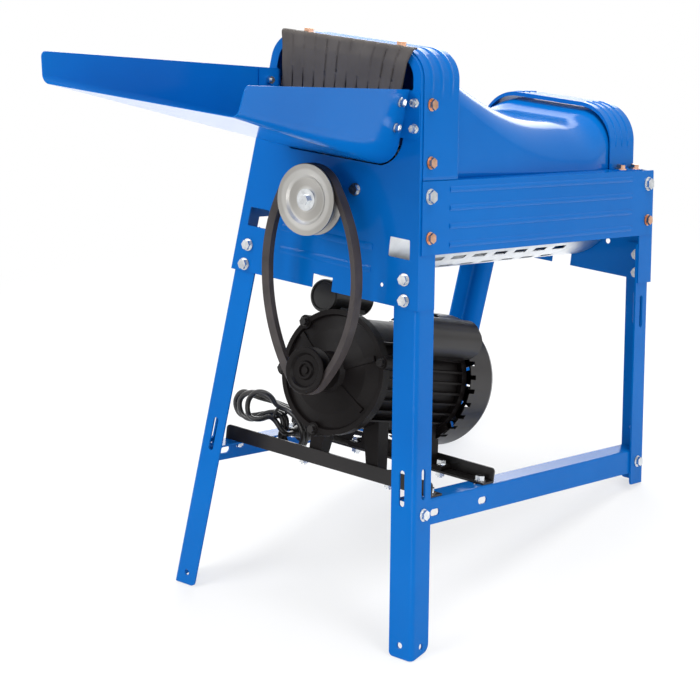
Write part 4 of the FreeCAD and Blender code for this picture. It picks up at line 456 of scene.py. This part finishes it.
def addTie():
    # a rounded rectangle across the neck, as four rings: inner and outer skin at the near and the far edge
    steps = lead["tieSteps"]
    turn = np.linspace(0, 2 * np.pi, steps + 1)[:-1]
    along = np.array(lead["tieAlong"]) / np.linalg.norm(lead["tieAlong"])
    depth = np.array([0.0, 1.0, 0.0])
    height = np.cross(along, depth)
    rings = []
    for lift, half in ((0.0, -1), (lead["tieThickness"], -1), (lead["tieThickness"], 1), (0.0, 1)):
        a = (lead["tieHalfDepth"] + lift) * squared(np.cos(turn))
        b = (lead["tieHalfHeight"] + lift) * squared(np.sin(turn))
        rings.append(np.array(lead["tieMiddle"]) + a[:, None] * depth + b[:, None] * height
                     + half * lead["tieWidth"] / 2 * along)
    faces = np.concatenate([gridFaces(len(rings), steps, True), closing(len(rings), steps)])
    return addPiece("leadTieBand", toRow(np.stack(rings)), faces, "mouldedBlack")


cordPiece, cordLine = addLead()
boot = addBoot(cordLine)
tie = addTie()
for piece in (cordPiece, boot, tie):
    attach(piece, "frame")
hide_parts("mains_lead", "lead_hank")
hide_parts("lead_tie")
print("lead laid:", len(cordLine), "points")


# Front hood, and the plate's sheet in the mouth's lower corners.
hood = {
    "front": 6.0, "rear": 89.0, "foot": 178.3, "top": 354.8, "corner": 43.8, "out": 1.8, "sheet": 1.5,
    "ribs": (23.0, 46.5, 70.0), "ribWidth": 3.6, "ribRise": 1.7, "ribLow": 292.0, "ribFull": 312.0,
    "lengthSteps": 78, "sideSteps": 22, "arcSteps": 18, "topSteps": 12,
}
cheeks = {
    "plane": 1.0, "mouthRim": 13.0, "mouthLow": 190.0, "mouthCorner": 24.0, "lap": 3.0, "top": 301.0,
    "trayGap": 3.2, "trayFloor": 192.0, "trayWall": 108.0, "trayHalf": (106.0, 117.0), "trayCorner": 35.0,
    "sheet": 1.5, "heightSteps": 60, "widthSteps": 9,
}


def archProfile(out):
    # from the right foot up the leaning side, round the corner on an arc and along the top, then mirrored
    lean = leanAngle()
    foot, top, corner = hood["foot"], hood["top"], hood["corner"]
    reach = drawing["lowHalfWidth"] * math.cos(lean) + out
    centreZ = top - corner
    centreX = (reach - corner - centreZ * math.sin(lean)) / math.cos(lean)
    turn = np.linspace(lean, math.pi / 2, hood["arcSteps"])
    arc = np.stack([centreX + corner * np.cos(turn), centreZ + corner * np.sin(turn)], -1)
    z = np.linspace(foot, arc[0, 1], hood["sideSteps"])[:-1]
    side = np.stack([(reach - z * math.sin(lean)) / math.cos(lean), z], -1)
    inwards = np.linspace(arc[-1, 0], 0, hood["topSteps"])[1:]
    flat = np.stack([inwards, np.full_like(inwards, top)], -1)
    half = np.concatenate([side, arc, flat])
    outward = np.concatenate([np.tile([math.cos(lean), math.sin(lean)], (len(side), 1)),
                              np.stack([np.cos(turn), np.sin(turn)], -1),
                              np.tile([0.0, 1.0], (len(flat), 1))])
    flip = np.array([-1.0, 1.0])
    return np.concatenate([half, half[-2::-1] * flip]), np.concatenate([outward, outward[-2::-1] * flip])


def addHood():
    # the arch carried from front to rear, pushed out at each rib by a bell curve that fades in up the sides
    profile, outward = archProfile(hood["out"])
    y = np.linspace(hood["front"], hood["rear"], hood["lengthSteps"])
    ridge = sum(np.exp(-((y - rib) / hood["ribWidth"]) ** 2) for rib in hood["ribs"])
    rise = np.clip((profile[:, 1] - hood["ribLow"]) / (hood["ribFull"] - hood["ribLow"]), 0, 1)
    rise = rise * rise * (3 - 2 * rise)
    push = hood["ribRise"] * ridge[:, None] * rise[None, :]
    x = profile[None, :, 0] + push * outward[None, :, 0]
    z = profile[None, :, 1] + push * outward[None, :, 1]
    points = np.stack([x, np.broadcast_to(y[:, None], x.shape), z], -1)
    faces = gridFaces(len(y), len(profile), False)[:, ::-1]
    piece = addPiece("hoodBand", toRow(points), faces, "blueEnamel")
    thicken(piece, hood["sheet"], -1.0)
    return piece


def addCheeks():
    # the plate's own sheet beside the tray: each row runs from just outside the tray's wall, which rounds into
    # its floor on an arc, to just inside the mouth's edge, which rounds into its sill on another
    low, high = cheeks["trayHalf"]
    z = np.linspace(cheeks["mouthLow"] - cheeks["lap"], cheeks["top"], cheeks["heightSteps"])
    wallX = low + (high - low) * (z - cheeks["trayFloor"]) / cheeks["trayWall"]
    radius = cheeks["trayCorner"] + cheeks["trayGap"]
    drop = np.clip(cheeks["trayFloor"] + cheeks["trayCorner"] - z, 0, radius)
    inner = wallX - cheeks["trayCorner"] + np.sqrt(np.clip(radius ** 2 - drop ** 2, 0, None))
    corner = cheeks["mouthCorner"]
    sink = np.clip(cheeks["mouthLow"] + corner - z, 0, corner)
    rounding = np.sqrt(np.clip(corner ** 2 - sink ** 2, 0, None))
    outer = halfWidth(z) - cheeks["mouthRim"] - corner + rounding + cheeks["lap"]
    share = np.linspace(0, 1, cheeks["widthSteps"])[None, :]
    right = inner[:, None] * (1 - share) + outer[:, None] * share
    plane, height = np.full(right.shape, cheeks["plane"]), np.broadcast_to(z[:, None], right.shape)
    pieces = []
    for side, label in ((1, "Right"), (-1, "Left")):
        points = np.stack([side * right, plane, height], -1)
        faces = gridFaces(len(z), cheeks["widthSteps"], False)[:, ::side]
        cheek = addPiece("mouthCheek" + label, toRow(points), faces, "blueEnamel", smooth=False)
        thicken(cheek, cheeks["sheet"], 0.0)
        pieces.append(cheek)
    return pieces


# Drum cover between the two hoods.
cover = {
    # distance along the body, height, half width at the rails, corner radius
    "sections": [(44, 335, 143, 36), (100, 319, 141, 42), (170, 295, 138, 50), (250, 271, 135, 59),
                 (340, 253, 132, 65), (430, 246.5, 130, 66), (500, 248.5, 128, 66), (538, 261, 123.5, 60),
                 (572, 266, 122.5, 56)],
    "foot": 178.0, "sheet": 1.5, "lengthSteps": 120, "sideSteps": 10, "arcSteps": 24, "topSteps": 12,
}


def flowing(at, known):
    # smooth cubic from each known value to the next, its slope at each one averaged from both neighbours
    where, value = known[:, 0], known[:, 1]
    slope = np.gradient(value, where)
    k = np.clip(np.searchsorted(where, at) - 1, 0, len(where) - 2)
    step = where[k + 1] - where[k]
    t = (at - where[k]) / step
    return ((2 * t ** 3 - 3 * t ** 2 + 1) * value[k] + (t ** 3 - 2 * t ** 2 + t) * step * slope[k]
            + (3 * t ** 2 - 2 * t ** 3) * value[k + 1] + (t ** 3 - t ** 2) * step * slope[k + 1])


def addCover():
    # leaning side, corner arc and flat top whose height, width and corner flow along the body
    table = np.array(cover["sections"], float)
    y = np.linspace(table[0, 0], table[-1, 0], cover["lengthSteps"])
    top, half, corner = (flowing(y, table[:, [0, k]])[:, None] for k in (1, 2, 3))
    lean = leanAngle()
    half = half + cover["foot"] * math.tan(lean)
    centreZ = top - corner
    centreX = half - centreZ * math.tan(lean) - corner / math.cos(lean)
    turn = np.linspace(lean, math.pi / 2, cover["arcSteps"])[None, :]
    arcX, arcZ = centreX + corner * np.cos(turn), centreZ + corner * np.sin(turn)
    rise = np.linspace(0, 1, cover["sideSteps"])[None, :-1]
    sideZ = cover["foot"] + (arcZ[:, :1] - cover["foot"]) * rise
    sideX = half - sideZ * math.tan(lean)
    flatX = arcX[:, -1:] * np.linspace(1, 0, cover["topSteps"])[None, 1:]
    x = np.concatenate([sideX, arcX, flatX], 1)
    z = np.concatenate([sideZ, arcZ, np.broadcast_to(top, flatX.shape)], 1)
    x, z = np.concatenate([x, -x[:, -2::-1]], 1), np.concatenate([z, z[:, -2::-1]], 1)
    points = np.stack([x, np.broadcast_to(y[:, None], x.shape), z], -1)
    faces = gridFaces(len(y), x.shape[1], False)[:, ::-1]
    piece = addPiece("coverSkin", toRow(points), faces, "blueEnamel")
    thicken(piece, cover["sheet"], -1.0)
    return piece


coverSkin = addCover()
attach(coverSkin, "frame")
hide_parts("drum_cover")
print("cover formed")

hoodBand = addHood()
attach(hoodBand, "frame")
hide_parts("front_hood")
for cheek in addCheeks():
    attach(cheek, "frame")
print("hood bent, mouth corners filled")


# Rubber curtain, clamped over the hood's rim.
curtain = {
    "slits": 10, "slitTop": (306, 309, 303, 300, 302, 311, 305, 300, 308, 304), "rest": 336.0, "bottom": 208.0,
    "foldHalf": 116.0, "hingeHalf": 110.0, "lowHalf": 96.0, "front": -2.2, "thickness": 2.8,
    "slitHalf": 1.15, "rimY": 1.5, "rimZ": 354.2, "rimRadius": 4.4, "rimLift": 0.35, "back": 5.4, "drop": 142.5,
    "foldSteps": 10, "dropSteps": 55, "acrossSteps": 7,
    # how fast the strips come loose below their slits, the slits open and the sheet leaves the rim
    "loosePower": 1.4, "slitOpening": 20.0, "frontFade": 8.0, "twistRise": 1.2,
    # the slow wave across the sheet: depth, turns across, start and how soon it dies away downwards
    "waveDepth": 1.4, "waveTurns": 3.6, "waveStart": 0.7, "waveFade": 2.2,
    # two points at the sheet's bend, between its part on the frame above and its part on the flap below
    "bendFrom": (0.0, -2.0, 337.0), "bendTo": (0.0, -2.0, 329.0),
    # each strip's lean sideways and outwards at its foot, and its twist, in millimetres
    "lean": (-2.2, -0.8, -1.6, -0.4, 0.6, -0.9, 1.4, 0.2, 1.1, -0.5, 2.0),
    "lift": (-1.5, -3.0, -0.6, -2.4, -1.0, -3.6, -0.8, -2.6, -1.4, -3.2, -0.9),
    "twist": (0.9, -0.7, 0.6, 0.8, -0.9, 0.5, -0.6, 0.9, -0.8, 0.4, -0.9),
}


def curtainProfile(s):
    # distance s down the sheet: back over the plate's rim, round it on an arc, then straight down
    radius, back = curtain["rimRadius"], curtain["back"]
    arc = radius * np.pi / 2
    angle = np.clip((s - back) / radius, 0, np.pi / 2)
    y = curtain["rimY"] + np.clip(back - s, 0, None) - radius * np.sin(angle)
    z = curtain["rimZ"] - radius * (1 - np.cos(angle)) - np.clip(s - back - arc, 0, None)
    return y, z + curtain["rimRadius"] * curtain["rimLift"]


def addCurtain():
    # strip by strip across and step by step down; rows above a slit join the strips on both sides of it.
    # x spreads with the sheet's width at that height, plus the strip's lean, less half the slit;
    # y is the profile's, less the wave, plus the strip's lift and its twist
    strips, inStrip = curtain["slits"] + 1, curtain["acrossSteps"]
    columns = strips * inStrip
    arc = curtain["back"] + curtain["rimRadius"] * np.pi / 2
    s = np.concatenate([np.linspace(0, arc, curtain["foldSteps"]),
                        np.linspace(arc, arc + curtain["drop"], curtain["dropSteps"])[1:]])
    y, z = curtainProfile(s)
    fall = np.clip((curtain["rimZ"] - z) / (curtain["rimZ"] - curtain["bottom"]), 0, 1)[:, None, None]
    across = np.linspace(-1, 1, inStrip)
    share = (np.arange(strips)[:, None] + (across[None, :] + 1) / 2) / strips * 2 - 1
    half = np.interp(z, [curtain["bottom"], curtain["rest"], curtain["rimZ"]],
                     [curtain["lowHalf"], curtain["hingeHalf"], curtain["foldHalf"]])
    top = np.array([curtain["slitTop"][0], *curtain["slitTop"], curtain["slitTop"][-1]], float)
    stripTop = (top[:-1] + top[1:]) / 2
    below = (stripTop[None, :] - z[:, None]) / (stripTop[None, :] - curtain["bottom"])
    loose = np.clip(below, 0, 1)[:, :, None] ** curtain["loosePower"]
    lean, lift, twist = (np.array(curtain[k])[:, None] for k in ("lean", "lift", "twist"))
    slit = np.minimum(curtain["slitHalf"], loose * curtain["slitOpening"])
    x = share[None] * half[:, None, None] + loose * lean - across * slit
    ripple = np.sin(share[None] * curtain["waveTurns"] + curtain["waveStart"]) ** 2
    wave = curtain["waveDepth"] * ripple * np.sin(np.pi * np.clip(fall * curtain["waveFade"], 0, 1))
    forward = curtain["front"] * np.clip(fall * curtain["frontFade"], 0, 1)
    y = y[:, None, None] + forward - wave + loose * lift + curtain["twistRise"] * across * loose * twist
    points = np.stack([x, y, np.broadcast_to(z[:, None, None], x.shape)], -1).reshape(len(s), columns, 3)
    faces = gridFaces(len(s), columns, False)
    column, row = faces[:, 0] % columns, faces[:, 0] // columns
    seam = column % inStrip == inStrip - 1
    slitTop = np.array(curtain["slitTop"] + (0,))[column // inStrip]
    keep = ~seam | (z[row + 1] > slitTop)
    piece = addPiece("rubberCurtain", toRow(points), faces[keep], "sheetRubber")
    thicken(piece, curtain["thickness"], 0.0)
    return piece


sheetCurtain = addCurtain()
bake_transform(sheetCurtain)
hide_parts("feed_curtain", "curtain_fold")
print("curtain hung")
